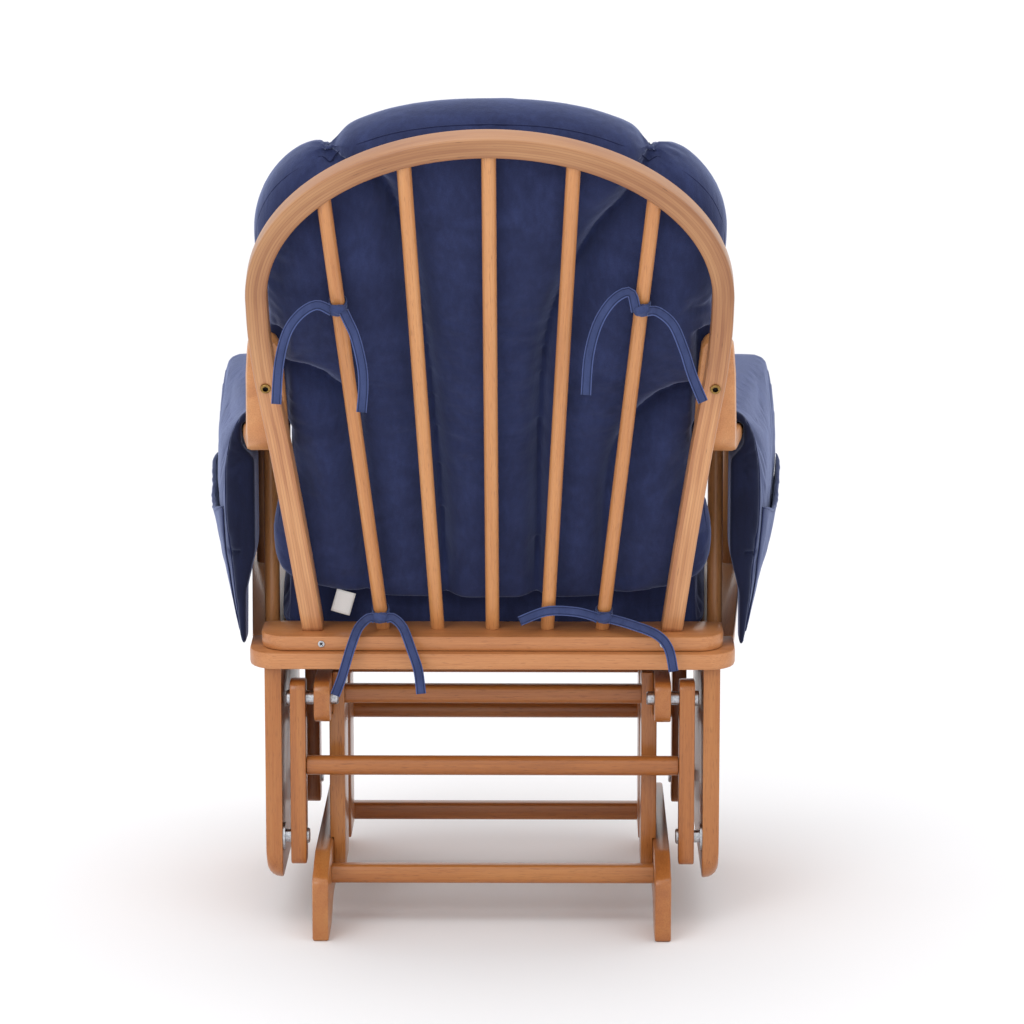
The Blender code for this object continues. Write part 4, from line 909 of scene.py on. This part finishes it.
def keep_clear_of_wood(across, up, out):
    """Push points in front of hoop, spindles, arm tongues and the seat cushion."""
    flat = np.column_stack([across, up])
    ring = [(p.x, p.y) for p in hoop_line]
    hoop_gap = distance_to_line(flat, ring)
    limit = 0.0165 + 0.0110 * (1 - ramp(hoop_gap, 0.013, 0.030))
    for number in range(1, 6):
        foot = SPINDLE_FEET[number - 1]
        rod_line = [(foot, 0.0), (foot + foot * FAN_SHARE * 0.66 / FAN_HEIGHT, 0.66)]
        bar_gap = distance_to_line(flat, rod_line)
        limit = np.maximum(limit, 0.0165 + 0.0062 * (1 - ramp(bar_gap, 0.007, 0.024)))
    out = np.maximum(out, limit)
    beside_tongue = ramp(np.abs(across), 0.2235, 0.2325) * ramp(up, 0.190, 0.215) * (1 - ramp(up, 0.392, 0.402))
    out = np.maximum(out, limit + (0.0520 - limit) * beside_tongue)
    # Rear part, then front part: half widths that clear the arms and the lips of the arm pads.
    rear_wide = np.interp(up, [0.05, 0.07, 0.11, 0.15, 0.185, 0.255, 0.28, 0.33, 0.40, 0.46],
                          [0.244, 0.256, 0.256, 0.247, 0.2287, 0.2287, 0.242, 0.250, 0.256, 0.270])
    front_wide = np.interp(up, [0.05, 0.075, 0.125, 0.165, 0.260, 0.330, 0.400, 0.450],
                           [0.220, 0.230, 0.234, 0.2115, 0.2115, 0.214, 0.230, 0.266])
    wide = rear_wide + (front_wide - rear_wide) * ramp(out, 0.060, 0.092)
    return np.clip(across, -wide, wide), up, out


def keep_off_seat(points):
    """The cushion rests on the seat cushion's top, and hangs behind its rear edge."""
    local = points - np.array(DECK_REAR)
    forward, high = local @ np.array(DECK_FORWARD), local @ np.array(DECK_UP)
    floor_level = 0.030 + 0.0608 * ramp(forward, 0.052, 0.068)
    lift = np.maximum(0.0, floor_level - high)
    return points + lift[:, None] * np.array(DECK_UP)


print("room for the cushion known")

# %% [markdown]
# Before stuffing, the cover is a stack of rings: the outline drawn smaller and smaller toward the
# cushion's heart, first on the rear side and then on the front side. The rear edge is rounded less
# below, where the cover lies flat on the spindles, than at the head, where it is plump.

# %% Back cushion before stuffing
CUSHION_REAR, CUSHION_FRONT, EDGE_ROUND = 0.031, 0.143, 0.046
heart = Vector((0.0, 0.33))
steps = [0.0, 0.0015, 0.005, 0.010, 0.017, 0.026, 0.036, 0.046]
rings = []
for side_sign in (-1, 1):
    part = []
    for inset in steps:
        lift = sqrt(max(0.0, 1 - (1 - inset / EDGE_ROUND) ** 2))
        part.append((inset, None, lift))
    for share in (0.72, 0.45, 0.18):
        part.append((0.046, share, 1.0))
    if side_sign < 0:
        part = list(reversed(part))
    else:
        part = part[1:]
    for inset, share, lift in part:
        ring = []
        for x, up in outline:
            toward = Vector((x, up)) - heart
            softness = 0.38 + 0.62 * float(ramp(up, 0.42, 0.54)) if side_sign < 0 else 1.0
            spot = heart + toward * max(0.0, 1 - inset * softness / toward.length)
            if share is not None:
                spot = heart + (spot - heart) * share
            centre_out = (CUSHION_REAR + CUSHION_FRONT) / 2
            half_thick = (CUSHION_FRONT - CUSHION_REAR) / 2
            out = centre_out + side_sign * half_thick * (0.05 + 0.95 * lift)
            ring.append(on_back(spot.x, spot.y, out))
        rings.append(ring)
points, faces = join_rings(rings)
points = np.array([tuple(p) for p in points])
across, up, out = back_frame(points)
across = keep_clear_of_wood(across, up, out)[0]
points = keep_off_seat(from_back_frame(across, up, out))
cushion = make_piece("back_cushion_cover", points, faces, navy_cloth, "navy_fabric")
remesh(cushion, 0.006)
print("back cushion starts with", len(cushion.data.vertices), "points")

# %% [markdown]
# The seams are pulled in before the stuffing goes in, and held there. Afterwards three things shape
# the surface: the wood keeps it out of its own space, the seams are drawn a little deeper and
# narrower than the remesh could hold, and short horizontal creases are added where the sitter's
# weight has folded the middle panel and the wings.

# %% Stuff the back cushion
across, up, out = back_frame(point_array(cushion.data))
gaps = seam_distances(across, up)
rear_side = 1 - ramp(out, 0.062, 0.085)
front_side = ramp(out, 0.090, 0.112)
long_seam = np.minimum(gaps[0], gaps[1])
lobe_seam = np.minimum(gaps[2], gaps[3])
low_end = 0.45 + 0.55 * ramp(up, 0.030, 0.090)
pull = (0.0180 * np.exp(-(long_seam / 0.013) ** 2) + 0.0140 * np.exp(-(lobe_seam / 0.012) ** 2)) * low_end
front_pull = 0.016 * np.exp(-(long_seam / 0.013) ** 2) * low_end
out = out + rear_side * pull - front_side * front_pull
place_points(cushion, from_back_frame(across, up, out))
held = up > 0.050
sewn = np.maximum(rear_side * (np.minimum(long_seam, lobe_seam) < 0.0055), front_side * (long_seam < 0.0055)) * held
stuff(cushion, 4.0, 0.014, sewn)
across, up, out = keep_clear_of_wood(*back_frame(point_array(cushion.data)))
place_points(cushion, keep_off_seat(from_back_frame(across, up, out)))
refine(cushion)
print("back cushion now has", len(cushion.data.vertices), "points")

# %% [markdown]
# After stuffing come the sewing details. Along each long seam the wing's edge lies 7 mm further from
# the eye than the middle panel's, below each arc the lobe drops back, and the gathers at the top edge
# fan out as pleats. All are added as small moves of the points, in or out of the back.

# %% Seams of the back cushion
SEAM_STEP, SEAM_TUCK, LOBE_FOLD, LOBE_TUCK = 0.0070, 0.0062, 0.0095, 0.0050
across, up, out = back_frame(point_array(cushion.data))
gaps = seam_distances(across, up)
rear_side = 1 - ramp(out, 0.070, 0.095)
for gap, line, sign in ((gaps[0], seams[0], 1), (gaps[1], seams[1], -1)):
    edge = np.interp(up, [p[1] for p in line], [p[0] for p in line])
    beyond = sign * (across - edge)
    step = np.where(beyond > 0, np.exp(-np.maximum(beyond, 0) / 0.016), 0.0) * SEAM_STEP
    tuck_in = SEAM_TUCK * np.exp(-(gap / 0.0060) ** 2) * ramp(up, 0.010, 0.050)
    out = out + rear_side * (step * ramp(up, 0.0, 0.10) * (1 - ramp(up, 0.55, 0.60)) + tuck_in)
for gap, line in ((gaps[2], seams[2]), (gaps[3], seams[3])):
    # Under each arc the lower lobe drops back, deepest right under the fold.
    arc = line[21::-1]
    edge_up = np.interp(np.abs(across), [abs(p[0]) for p in arc], [p[1] for p in arc])
    own_side = np.sign(across) == np.sign(line[0][0])
    under = np.where(own_side & (np.abs(across) > 0.145), np.maximum(edge_up - up, 0.0), 0.0)
    fold = LOBE_FOLD * np.exp(-under / 0.035) * (under > 0)
    out = out + rear_side * (fold + LOBE_TUCK * np.exp(-(gap / 0.0055) ** 2) * ramp(up, 0.010, 0.050))
print("seams drawn")

# %% Gathers and creases of the back cushion
for sign in (1, -1):
    dx, dup = across - sign * 0.177, up - 0.602
    reach = np.sqrt(dx * dx + dup * dup)
    pleats = np.sin(np.arctan2(dup, sign * dx) * 11) * np.exp(-(reach / 0.034) ** 2)
    out = out - rear_side * 0.0026 * pleats
    up = up - 0.0020 * pleats * np.exp(-(reach / 0.030) ** 2)
# Creases: many fine ones low in the middle panel, a few on each wing.
middle_part = 1 - ramp(np.abs(across), 0.050, 0.075)
low_creases = creases(across, up, waves(5, 5, 0.016, 0.034))
mid_zone = ramp(up, 0.16, 0.24) * (1 - ramp(up, 0.40, 0.47))
wing_zone = ramp(np.abs(across), 0.070, 0.10) * ramp(up, 0.22, 0.27) * (1 - ramp(up, 0.33, 0.40))
slow = creases(across, up, waves(9, 4, 0.075, 0.14))
out = out + rear_side * (0.0016 * low_creases * middle_part * mid_zone + 0.0014 * low_creases * wing_zone
                         + 0.0014 * slow)
place_points(cushion, from_back_frame(across, up, out))
# The seams were drawn point by point, so a light smoothing along them takes out the small steps.
nearest = np.minimum(np.minimum(gaps[0], gaps[1]), np.minimum(gaps[2], gaps[3]))
zone = cushion.vertex_groups.new(name="seam_zone")
for index in np.flatnonzero(nearest < 0.016):
    zone.add([int(index)], float(rear_side[index] * np.exp(-(nearest[index] / 0.011) ** 2)), "REPLACE")
smoothing = cushion.modifiers.new("seam_smoothing", "SMOOTH")
smoothing.factor, smoothing.iterations, smoothing.vertex_group = 0.5, 5, zone.name
bake_modifiers(cushion)
across, up, out = keep_clear_of_wood(*back_frame(point_array(cushion.data)))
place_points(cushion, keep_off_seat(from_back_frame(across, up, out)))
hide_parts("back_cushion")
cushion_tree = BVHTree.FromObject(cushion, bpy.context.evaluated_depsgraph_get())
print("back cushion box, mm:", [round(1000 * d) for d in cushion.dimensions])

# %% [markdown]
# **Seam lines.** Where two panels of the cover are sewn together, the turned edges make a fine ridge.
# A groove in the shading would do from far away, but a real thin roll of cloth gives the outline its
# small kink too. Each roll follows the finished surface: rays are cast at the cushion and the roll is
# laid where they land, half sunk into it. The roll is painted darker than the cover: painted seam shade.

# %% Rolls of cloth along seams
def sew_roll(name, line, radius, node, material, sides=8, closed=False):
    """A thin closed tube along a line of points that already lie on a surface."""
    count = len(line)
    rings = []
    for i, point in enumerate(line):
        before = line[(i - 1) % count] if closed else line[max(i - 1, 0)]
        after = line[(i + 1) % count] if closed else line[min(i + 1, count - 1)]
        along = (after - before).normalized()
        first = along.orthogonal() if i == 0 else first - along * along.dot(first)
        first = first.normalized()
        second = along.cross(first)
        taper = 1.0 if closed else min(1.0, 0.35 + 0.65 * min(i, count - 1 - i) / 4)
        rings.append([point + (first * cos(2 * pi * k / sides) + second * sin(2 * pi * k / sides)) * radius * taper
                      for k in range(sides)])
    roll = make_piece(name, *join_rings(rings, loop=closed), material, "navy_fabric")
    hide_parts(node)


def settle(line, passes, closed=False):
    """Even out a line that was laid on a bumpy surface."""
    points = [p.copy() for p in line]
    for _ in range(passes):
        points = [points[i] if not closed and i in (0, len(points) - 1) else
                  (points[i - 1] + points[i] * 2 + points[(i + 1) % len(points)]) / 4 for i in range(len(points))]
    return points


edge_line = []
for x, up in [p for p in outline if p[1] > 0.10]:
    toward = Vector((x, up)) - heart
    spot = heart + toward * (1 - 0.0065 / toward.length)
    hit = cushion_tree.ray_cast(on_back(spot.x, spot.y, -0.05), BACK_OUT)[0]
    if hit is not None and (hit - BACK_FOOT).dot(BACK_OUT) < 0.085:
        edge_line.append(hit)
if len(edge_line) > 20:
    sew_roll("back_cushion_edge_seam", settle(edge_line, 3), 0.00085, "back_cushion", seam_shade_cloth)
print("edge seam has", len(edge_line), "points")

# %% [markdown]
# **Seat cushion.** A box cushion: a top and a bottom panel with a side band between them and a piped
# edge along each. It lies flat on the slats, so its underside is held flat, and only the top and the
# band swell. From behind only its band shows, in the shade below the back cushion.

# %% Seat cushion
def rounded_outline(corners, radii, steps):
    """Corners rounded to arcs, with points along the edges too."""
    out = []
    count = len(corners)
    for i in range(count):
        before, here, after = (Vector(corners[(i + k) % count]) for k in (-1, 0, 1))
        reach_in, reach_out = (before - here).normalized(), (after - here).normalized()
        for k in range(steps + 1):
            t = k / steps
            start, stop = here + reach_in * radii[i], here + reach_out * radii[i]
            out.append((1 - t) ** 2 * start + 2 * t * (1 - t) * here + t * t * stop)
        start, stop = here + reach_out * radii[i], after - (after - here).normalized() * radii[(i + 1) % count]
        for k in range(1, 12):
            out.append(start + (stop - start) * (k / 12))
    return out


SEAT_REAR, SEAT_FRONT = 0.069, 0.497
seat_outline = rounded_outline([(-0.2465, SEAT_REAR), (0.2465, SEAT_REAR), (0.262, SEAT_FRONT), (-0.262, SEAT_FRONT)],
                               (0.040, 0.040, 0.060, 0.060), 8)
seat_heart = Vector((0.0, (SEAT_REAR + SEAT_FRONT) / 2))
rings = []
for side_sign in (-1, 1):
    part = []
    for inset in (0.0, 0.001, 0.004, 0.009, 0.016):
        part.append((inset, 1.0, sqrt(max(0.0, 1 - (1 - inset / 0.016) ** 2))))
    for share, crown in ((0.80, 1.06), (0.55, 1.14), (0.25, 1.18)):
        part.append((0.016, share, crown if side_sign > 0 else 1.0))
    part = list(reversed(part)) if side_sign < 0 else part
    for inset, share, lift in part:
        ring = []
        for point in seat_outline:
            toward = point - seat_heart
            spot = seat_heart + toward * (1 - inset / toward.length) * share
            ring.append(on_deck(spot.x, spot.y, 0.0415 + side_sign * (0.024 + 0.0130 * lift)))
        rings.append(ring)
seat_cushion = make_piece("seat_cushion_cover", *join_rings(rings), navy_cloth, "navy_fabric")
remesh(seat_cushion, 0.0065)
print("seat cushion starts with", len(seat_cushion.data.vertices), "points")

# %% [markdown]
# The underside is held while the rest swells. Then the cushion is kept inside the room that the
# posts, the slats and the back rail leave, and its band gets upright ripples and its top soft dents.

# %% Stuff the seat cushion
points = point_array(seat_cushion.data)
high = (points - np.array(DECK_REAR)) @ np.array(DECK_UP)
stuff(seat_cushion, 3.5, 0.009, (high < 0.012).astype(float))


def keep_on_deck(points):
    """Half widths that clear the posts, a flat underside, and a rear edge in front of the back rail."""
    local = points - np.array(DECK_REAR)
    forward, high = local @ np.array(DECK_FORWARD), local @ np.array(DECK_UP)
    wide_cap = np.interp(forward, [0.05, 0.12, 0.36, 0.52], [0.2500, 0.2508, 0.268, 0.2765])
    flat = np.clip(points[:, 0], -wide_cap, wide_cap)
    new_high = np.clip(high, 0.0018, 0.0900)
    new_forward = np.maximum(forward, 0.0600)
    moved = points.copy()
    moved[:, 0] = flat
    return (moved + (new_high - high)[:, None] * np.array(DECK_UP)
            + (new_forward - forward)[:, None] * np.array(DECK_FORWARD))


place_points(seat_cushion, keep_on_deck(point_array(seat_cushion.data)))
refine(seat_cushion)
points = point_array(seat_cushion.data)
local = points - np.array(DECK_REAR)
forward, high = local @ np.array(DECK_FORWARD), local @ np.array(DECK_UP)
ripple = creases(forward, points[:, 0] * 0.7, waves(21, 4, 0.03, 0.08))
band = ramp(high, 0.010, 0.022) * (1 - ramp(high, 0.066, 0.078))
dent = 0.0012 * creases(points[:, 0], forward, waves(23, 4, 0.09, 0.16)) * ramp(high, 0.070, 0.082)
outward = np.column_stack([points[:, 0], points[:, 1] - (DECK_REAR.y - 0.28), np.zeros(len(points))])
outward /= np.maximum(np.linalg.norm(outward, axis=1, keepdims=True), 1e-6)
points = points + outward * (0.0012 * ripple * band)[:, None] + dent[:, None] * np.array(DECK_UP)
place_points(seat_cushion, keep_on_deck(points))
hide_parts("seat_cushion")
print("seat cushion box, mm:", [round(1000 * d) for d in seat_cushion.dimensions])

# %% [markdown]
# **Piping.** A cord in a tube of the same cloth runs round the top and the bottom of the band. It is
# laid by rays that come from outside toward the cushion's middle, at the height of each edge.

# %% Piping of the seat cushion
seat_tree = BVHTree.FromObject(seat_cushion, bpy.context.evaluated_depsgraph_get())
for word, level in (("top", 0.0745), ("bottom", 0.0135)):
    line = []
    for point in seat_outline:
        away = seat_heart + (point - seat_heart) * 1.25
        target = on_deck(seat_heart.x, seat_heart.y, level)
        start = on_deck(away.x, away.y, level)
        hit = seat_tree.ray_cast(start, (target - start).normalized())[0]
        if hit is not None:
            line.append(hit)
    sew_roll("seat_cushion_piping_" + word, settle(line, 2, closed=True), 0.0021, "seat_cushion", navy_cloth,
             closed=True)
    print("piping", word, "runs through", len(line), "points")

# %% [markdown]
# **Arm pads.** Each arm wears a padded saddle: a short lip inside, a soft top, and a thick outer flap
# that hangs beside the posts, swells in the middle and comes to a thin sewn edge at the bottom. The
# inner skin lies on the arm and is held there; everything else swells. Its slice changes along the
# arm, because the arms are wider and further apart at the front, so the pad is a row of slices.

# %% The arm under the pad
arm_points = point_array(frame["nodes"]["arm_left"].data)
ARM_RISE = 0.01746


def arm_x(y):
    """How far across the middle of the arm lies."""
    return 0.254 + 0.046 * np.clip((0.220 - (y - SLIDE)) / 0.510, 0.0, 1.0)


def arm_half(y):
    """Half the width of the arm, which grows toward the front."""
    return (0.051 + 0.021 * np.clip((0.220 - (y - SLIDE)) / 0.400, 0.0, 1.0)) / 2


def post_side(y):
    """The line past the outer side of both posts."""
    return 0.2745 + 0.1028 * np.maximum(0.077 - (y - SLIDE), 0.0)


def board_side(y):
    """The edge of the deck's side board, with room for the pad."""
    return 0.2825 + 0.0255 * np.clip((DECK_REAR.y - y - 0.076) / 0.359, 0.0, 1.0) + 0.0035


straight = arm_points[(arm_points[:, 1] < -0.10 + SLIDE) & (arm_points[:, 1] > -0.24 + SLIDE)]
arm_top_there, arm_mid_y = float(straight[:, 2].max()), float(straight[straight[:, 2].argmax(), 1])


def arm_top(y):
    return arm_top_there + (arm_mid_y - y) * ARM_RISE


print("arm top at", round(arm_top_there, 4), "m, arm half width from", round(float(arm_half(0.15)), 4), "m")

# %% [markdown]
# One slice of the pad is a polygon with rounded corners. It starts at the inner lip, follows the arm
# and the posts down to the sewn lower edge, and comes back up over the swollen outer side.

# %% One slice of an arm pad
PAD_REAR, PAD_FRONT, FLAP_LOW = 0.148 + SLIDE, -0.270 + SLIDE, 0.3335


def pad_slice(y):
    """Points round one slice of a pad, as across and height, starting at the inner lip."""
    x, half = arm_x(y), arm_half(y) + 0.0017
    top = arm_top(y) + 0.0017
    low = arm_top(y) - 0.022
    share = (PAD_REAR - y) / (PAD_REAR - PAD_FRONT)
    outer = x + half + 0.0200 - 0.0065 * share
    post = post_side(y) + 0.001
    tuck = max(post, board_side(y))
    knee = FLAP_LOW + 0.46 * (low - FLAP_LOW)
    high = top + 0.014
    corners = [(x - half - 0.013, top - 0.024), (x - half, top - 0.024), (x - half, top), (x + half, top),
               (x + half, low - 0.004), (post, low - 0.020), (post, knee), (tuck + 0.001, FLAP_LOW + 0.062),
               (tuck + 0.0015, FLAP_LOW), (tuck + 0.0070, FLAP_LOW), (outer - 0.009, knee - 0.030),
               (outer, knee + 0.050), (outer, low - 0.030), (outer - 0.007, low + 0.014), (x + half - 0.002, high),
               (x - half - 0.013, high)]
    radii = [0.006, 0.006, 0.002, 0.002, 0.003, 0.004, 0.008, 0.004, 0.0025, 0.004, 0.020, 0.020, 0.018, 0.012,
             0.012, 0.012]
    ring = []
    for i, corner in enumerate(corners):
        before, here, after = Vector(corners[i - 1]), Vector(corner), Vector(corners[(i + 1) % len(corners)])
        reach_in = min(radii[i], (before - here).length * 0.45)
        reach_out = min(radii[i], (after - here).length * 0.45)
        start = here + (before - here).normalized() * reach_in
        stop = here + (after - here).normalized() * reach_out
        for k in range(4):
            t = k / 3
            ring.append((1 - t) ** 2 * start + 2 * t * (1 - t) * here + t * t * stop)
    return ring


def inner_skin(points, sign):
    """True for points on the side of the pad that faces the arm, the posts and the boards."""
    x, y, z = points[:, 0] * sign, points[:, 1], points[:, 2]
    centre, half, top = arm_x(y), arm_half(y), arm_top(y)
    on_arm = (z < top + 0.0045) & (x > centre - half - 0.0045) & (x < centre + half + 0.0045)
    low_inside = (z < top - 0.022) & (x < post_side(y) + 0.0065)
    board = (z < 0.400) & (x < np.maximum(post_side(y), board_side(y)) + 0.0050)
    return on_arm | low_inside | board


def ridge(value, width):
    return np.exp(-(value / width) ** 2)


print("a slice has", len(pad_slice(PAD_REAR)), "points")

# %% [markdown]
# The two pads are stuffed like the cushions, with the inner skin held. Long soft dents and short
# upright folds below the pocket come after. The rear edge is closed by hand, so it has a slit at mid
# height and pulls that fan out from the arm, and it is painted darker as painted shade.

# %% Stuff the arm pads
pad_trees = {}
for side, sign in (("left", 1), ("right", -1)):
    rings = []
    for k in range(33):
        y = PAD_REAR + (PAD_FRONT - PAD_REAR) * k / 32
        rings.append([Vector((sign * p.x, y, p.y)) for p in pad_slice(y)])
    pad = make_piece("arm_pad_cover_" + side, *join_rings(rings), navy_cloth, "navy_fabric")
    remesh(pad, 0.0042)
    points = point_array(pad.data)
    held = inner_skin(points, sign).astype(float)
    stuff(pad, 3.0, 0.0045, held)
    refine(pad)
    points = point_array(pad.data)
    free = 1.0 - inner_skin(points, sign)
    y, z = points[:, 1] - SLIDE, points[:, 2]
    outward = free * ramp(points[:, 0] * sign - arm_x(points[:, 1]), 0.018, 0.032)
    hanging = creases(z, y, waves(31 + sign, 5, 0.024, 0.052))
    under_pocket = ramp(z, 0.335, 0.36) * (1 - ramp(z, 0.47, 0.53))
    soft = creases(y, z, waves(41 + sign, 4, 0.07, 0.12))
    push = outward * (0.0014 * hanging * under_pocket + 0.0012 * soft)
    points[:, 0] += sign * push
    at_rear = ramp(points[:, 1], PAD_REAR - 0.020, PAD_REAR - 0.004) * free
    from_x, from_z = points[:, 0] * sign - 0.272, z - 0.555
    fan = np.sin(np.arctan2(from_z, from_x) * 13) * ridge(np.hypot(from_z, from_x) - 0.020, 0.018)
    points[:, 1] -= at_rear * (0.0055 * ridge(z - 0.443, 0.0030) + 0.0014 * fan)
    place_points(pad, points)
    # The rear end of each pad is painted darker: painted shade.
    painted_rear_shade = pad.data.attributes.new("painted_rear_shade", "FLOAT", "POINT")
    painted_rear_shade.data.foreach_set("value", ramp(points[:, 1], PAD_REAR - 0.016, PAD_REAR - 0.004).astype(np.float32))
    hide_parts("arm_pad_" + side)
    pad_trees[side] = BVHTree.FromObject(pad, bpy.context.evaluated_depsgraph_get())
    print("arm pad", side, "box, mm:", [round(1000 * d) for d in pad.dimensions])

# %% [markdown]
# **Pockets.** A patch of the same cloth is sewn to the outside of each flap on three sides, as a
# pocket for small things. Its mouth dips in the middle and stands a few millimetres open, and its hem
# is turned over. It is a thin closed panel laid over the finished pad by rays, so that it always
# follows the swelling below it.

# %% Pockets
POCKET_FRONT, POCKET_LONG, POCKET_LOW = -0.235, 0.363, 0.345
mouth_heights = ([-0.235, -0.20, -0.15, -0.08, -0.02, 0.04, 0.10, 0.128],
                 [0.497, 0.4945, 0.488, 0.473, 0.4685, 0.474, 0.487, 0.493])


def panel_faces(columns, rows):
    """Faces of a thin panel: a grid of points for each skin, and a border that joins the two."""
    faces, wide = [], rows + 1
    total = (columns + 1) * wide
    for i in range(columns):
        for j in range(rows):
            a = i * wide + j
            faces.append((a, a + 1, a + wide + 1, a + wide))
            faces.append((total + a, total + a + wide, total + a + wide + 1, total + a + 1))
    border = ([i * wide for i in range(columns)] + [columns * wide + j for j in range(rows)]
              + [i * wide + rows for i in range(columns, 0, -1)] + [j for j in range(rows, 0, -1)])
    for k, a in enumerate(border):
        b = border[(k + 1) % len(border)]
        faces.append((a, b, total + b, total + a))
    return faces


for side, sign in (("left", 1), ("right", -1)):
    tree_of_pad = pad_trees[side]
    columns, rows = 46, 22
    skins = {"inner": [], "outer": []}
    for i in range(columns + 1):
        y = POCKET_FRONT + POCKET_LONG * i / columns
        mouth = float(np.interp(y, *mouth_heights))
        across_share = sin(pi * i / columns)
        for j in range(rows + 1):
            z = mouth + (POCKET_LOW - mouth) * j / rows
            start = Vector((sign * 0.45, y + SLIDE, z))
            hit = tree_of_pad.ray_cast(start, Vector((-sign, 0, 0)))[0]
            surface = hit.x * sign if hit is not None else 0.30
            down = j / rows
            stand = 0.0008 + 0.0065 * across_share ** 0.7 * (1 - down) ** 2.2
            ripple = 0.0011 * sin(y * 150 + 2.0 * sin(z * 40) + sign) * across_share * sin(pi * min(down * 1.4, 1))
            edge = min(i, columns - i, rows - j) / 2
            thick = 0.0030 if edge >= 1 else 0.0016 + 0.0014 * edge
            skins["inner"].append(Vector((sign * (surface + stand * 0.9 + ripple - 0.0004), y + SLIDE, z)))
            skins["outer"].append(Vector((sign * (surface + stand + ripple + thick), y + SLIDE, z)))
    pocket = make_piece("arm_pad_pocket_" + side, skins["inner"] + skins["outer"], panel_faces(columns, rows),
                        navy_cloth, "navy_fabric")
    pocket.data.validate()
    refine(pocket)
    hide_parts("arm_pad_" + side)
    at_mouth = [i * (rows + 1) for i in range(columns + 1)]
    hem = [(skins["inner"][a] + skins["outer"][a]) / 2 for a in at_mouth]
    sew_roll("arm_pad_pocket_hem_" + side, hem, 0.0023, "arm_pad_" + side, navy_cloth)
    # The seam round the rear end of the pad.
    line = [tree_of_pad.find_nearest(Vector((sign * p.x, PAD_REAR - 0.0065, p.y)))[0]
            for p in pad_slice(PAD_REAR)[36:62]]
    sew_roll("arm_pad_rear_seam_" + side, settle(even_line(line, 60), 3), 0.0010, "arm_pad_" + side, seam_shade_cloth)
print("pockets made")

# %% [markdown]
# **Sewn-in label.** A short loop of white tape is caught in the bottom seam of the back cushion and
# hangs with a slight curl. It carries no print. It is a thin closed sheet bent along its length.

# %% Label
lean = Matrix.Rotation(radians(-16), 3, "Y")
label_low, label_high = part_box("care_label")
label_centre = (label_low + label_high) / 2
label_points, cells = [], 8
for skin_side in (0, 1):
    for i in range(cells + 1):
        for j in range(cells + 1):
            u, v = (i / cells - 0.5) * 0.0228, (j / cells - 0.5) * 0.0268
            below = 1 if j < cells / 2 else 0.2
            curl = 0.0022 * (0.5 - j / cells) ** 2 * 4 * below + 0.0010 * sin(pi * i / cells)
            label_points.append(label_centre + lean @ Vector((u, curl + 0.0006 * skin_side, v)))
label = make_piece("sewn_in_label", label_points, panel_faces(cells, cells), label_tape, "label_cloth")
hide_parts("care_label")
print("label made")

# %% [markdown]
# **Stage.** The chair stands on a seamless pale floor in a white studio. The floor is matt and almost
# white, so what shows on it is mainly the soft contact shadow under the runners. The light comes from
# a bright white surround and wide soft boxes, as in a product studio: wide sources give wood a long
# soft highlight and let cloth keep its colour.

# %% Floor
floor_mesh = bpy.data.meshes.new("studio_floor")
floor_mesh.from_pydata([(-40, -40, 0), (40, -40, 0), (40, 40, 0), (-40, 40, 0)], [], [(0, 1, 2, 3)])
floor = bpy.data.objects.new("studio_floor", floor_mesh)
scene.collection.objects.link(floor)
floor_paint, tree, shader = new_material("matt_white_studio_paint")
place = add_node(tree, "ShaderNodeTexCoord").outputs["Object"]
mottle = add_node(tree, "ShaderNodeTexNoise", {"Scale": 0.9, "Detail": 2.0}, {"Vector": place})
tree.links.new(blend_ramp(tree, mottle.outputs["Fac"], ((0.2, "#eeeef0"), (0.8, "#f3f3f5"))),
               shader.inputs["Base Color"])
shader.inputs["Roughness"].default_value = 0.75
shader.inputs["Specular IOR Level"].default_value = 0.15
floor_mesh.materials.append(floor_paint)
print("floor made")

# %% [markdown]
# **Light.** One wide soft box hangs above the chair. A key stands to one side of a viewer behind the
# chair and a weaker fill to the other side. A bright box far beyond the chair evens out the floor
# that this viewer sees; from the side of the chair a faint horizon still shows.

# %% Light
world = bpy.data.worlds.new("white_studio")
scene.world = world
world.use_nodes = True
background = world.node_tree.nodes["Background"]
background.inputs["Color"].default_value = linear("#ffffff")
background.inputs["Strength"].default_value = 1.0


def soft_box(name, place, target, width, height, power):
    """An area light at one place, turned to face another; power in watts."""
    light = bpy.data.lights.new(name, "AREA")
    light.shape = "RECTANGLE"
    light.size, light.size_y, light.energy = width, height, power
    lamp = bpy.data.objects.new(name, light)
    lamp.location = place
    lamp.rotation_mode = "QUATERNION"
    lamp.rotation_quaternion = (Vector(target) - Vector(place)).to_track_quat("-Z", "Y")
    scene.collection.objects.link(lamp)


soft_box("overhead_box", (0.3, 0.4, 3.4), (0, 0, 0.5), 3.2, 3.2, 28)
soft_box("key_box", (1.9, 3.6, 2.6), (0, 0.1, 0.5), 1.8, 1.8, 34)
soft_box("fill_box", (-2.6, 3.2, 1.6), (0, 0.1, 0.5), 1.8, 1.8, 8)
soft_box("backdrop_box", (0, -15, 7), (0, -15, 0), 24, 22, 420)
scene.view_settings.view_transform = "Standard"
scene.view_settings.look = "None"
scene.view_settings.exposure = 0.0
scene.view_settings.gamma = 1.0
print("lights on")
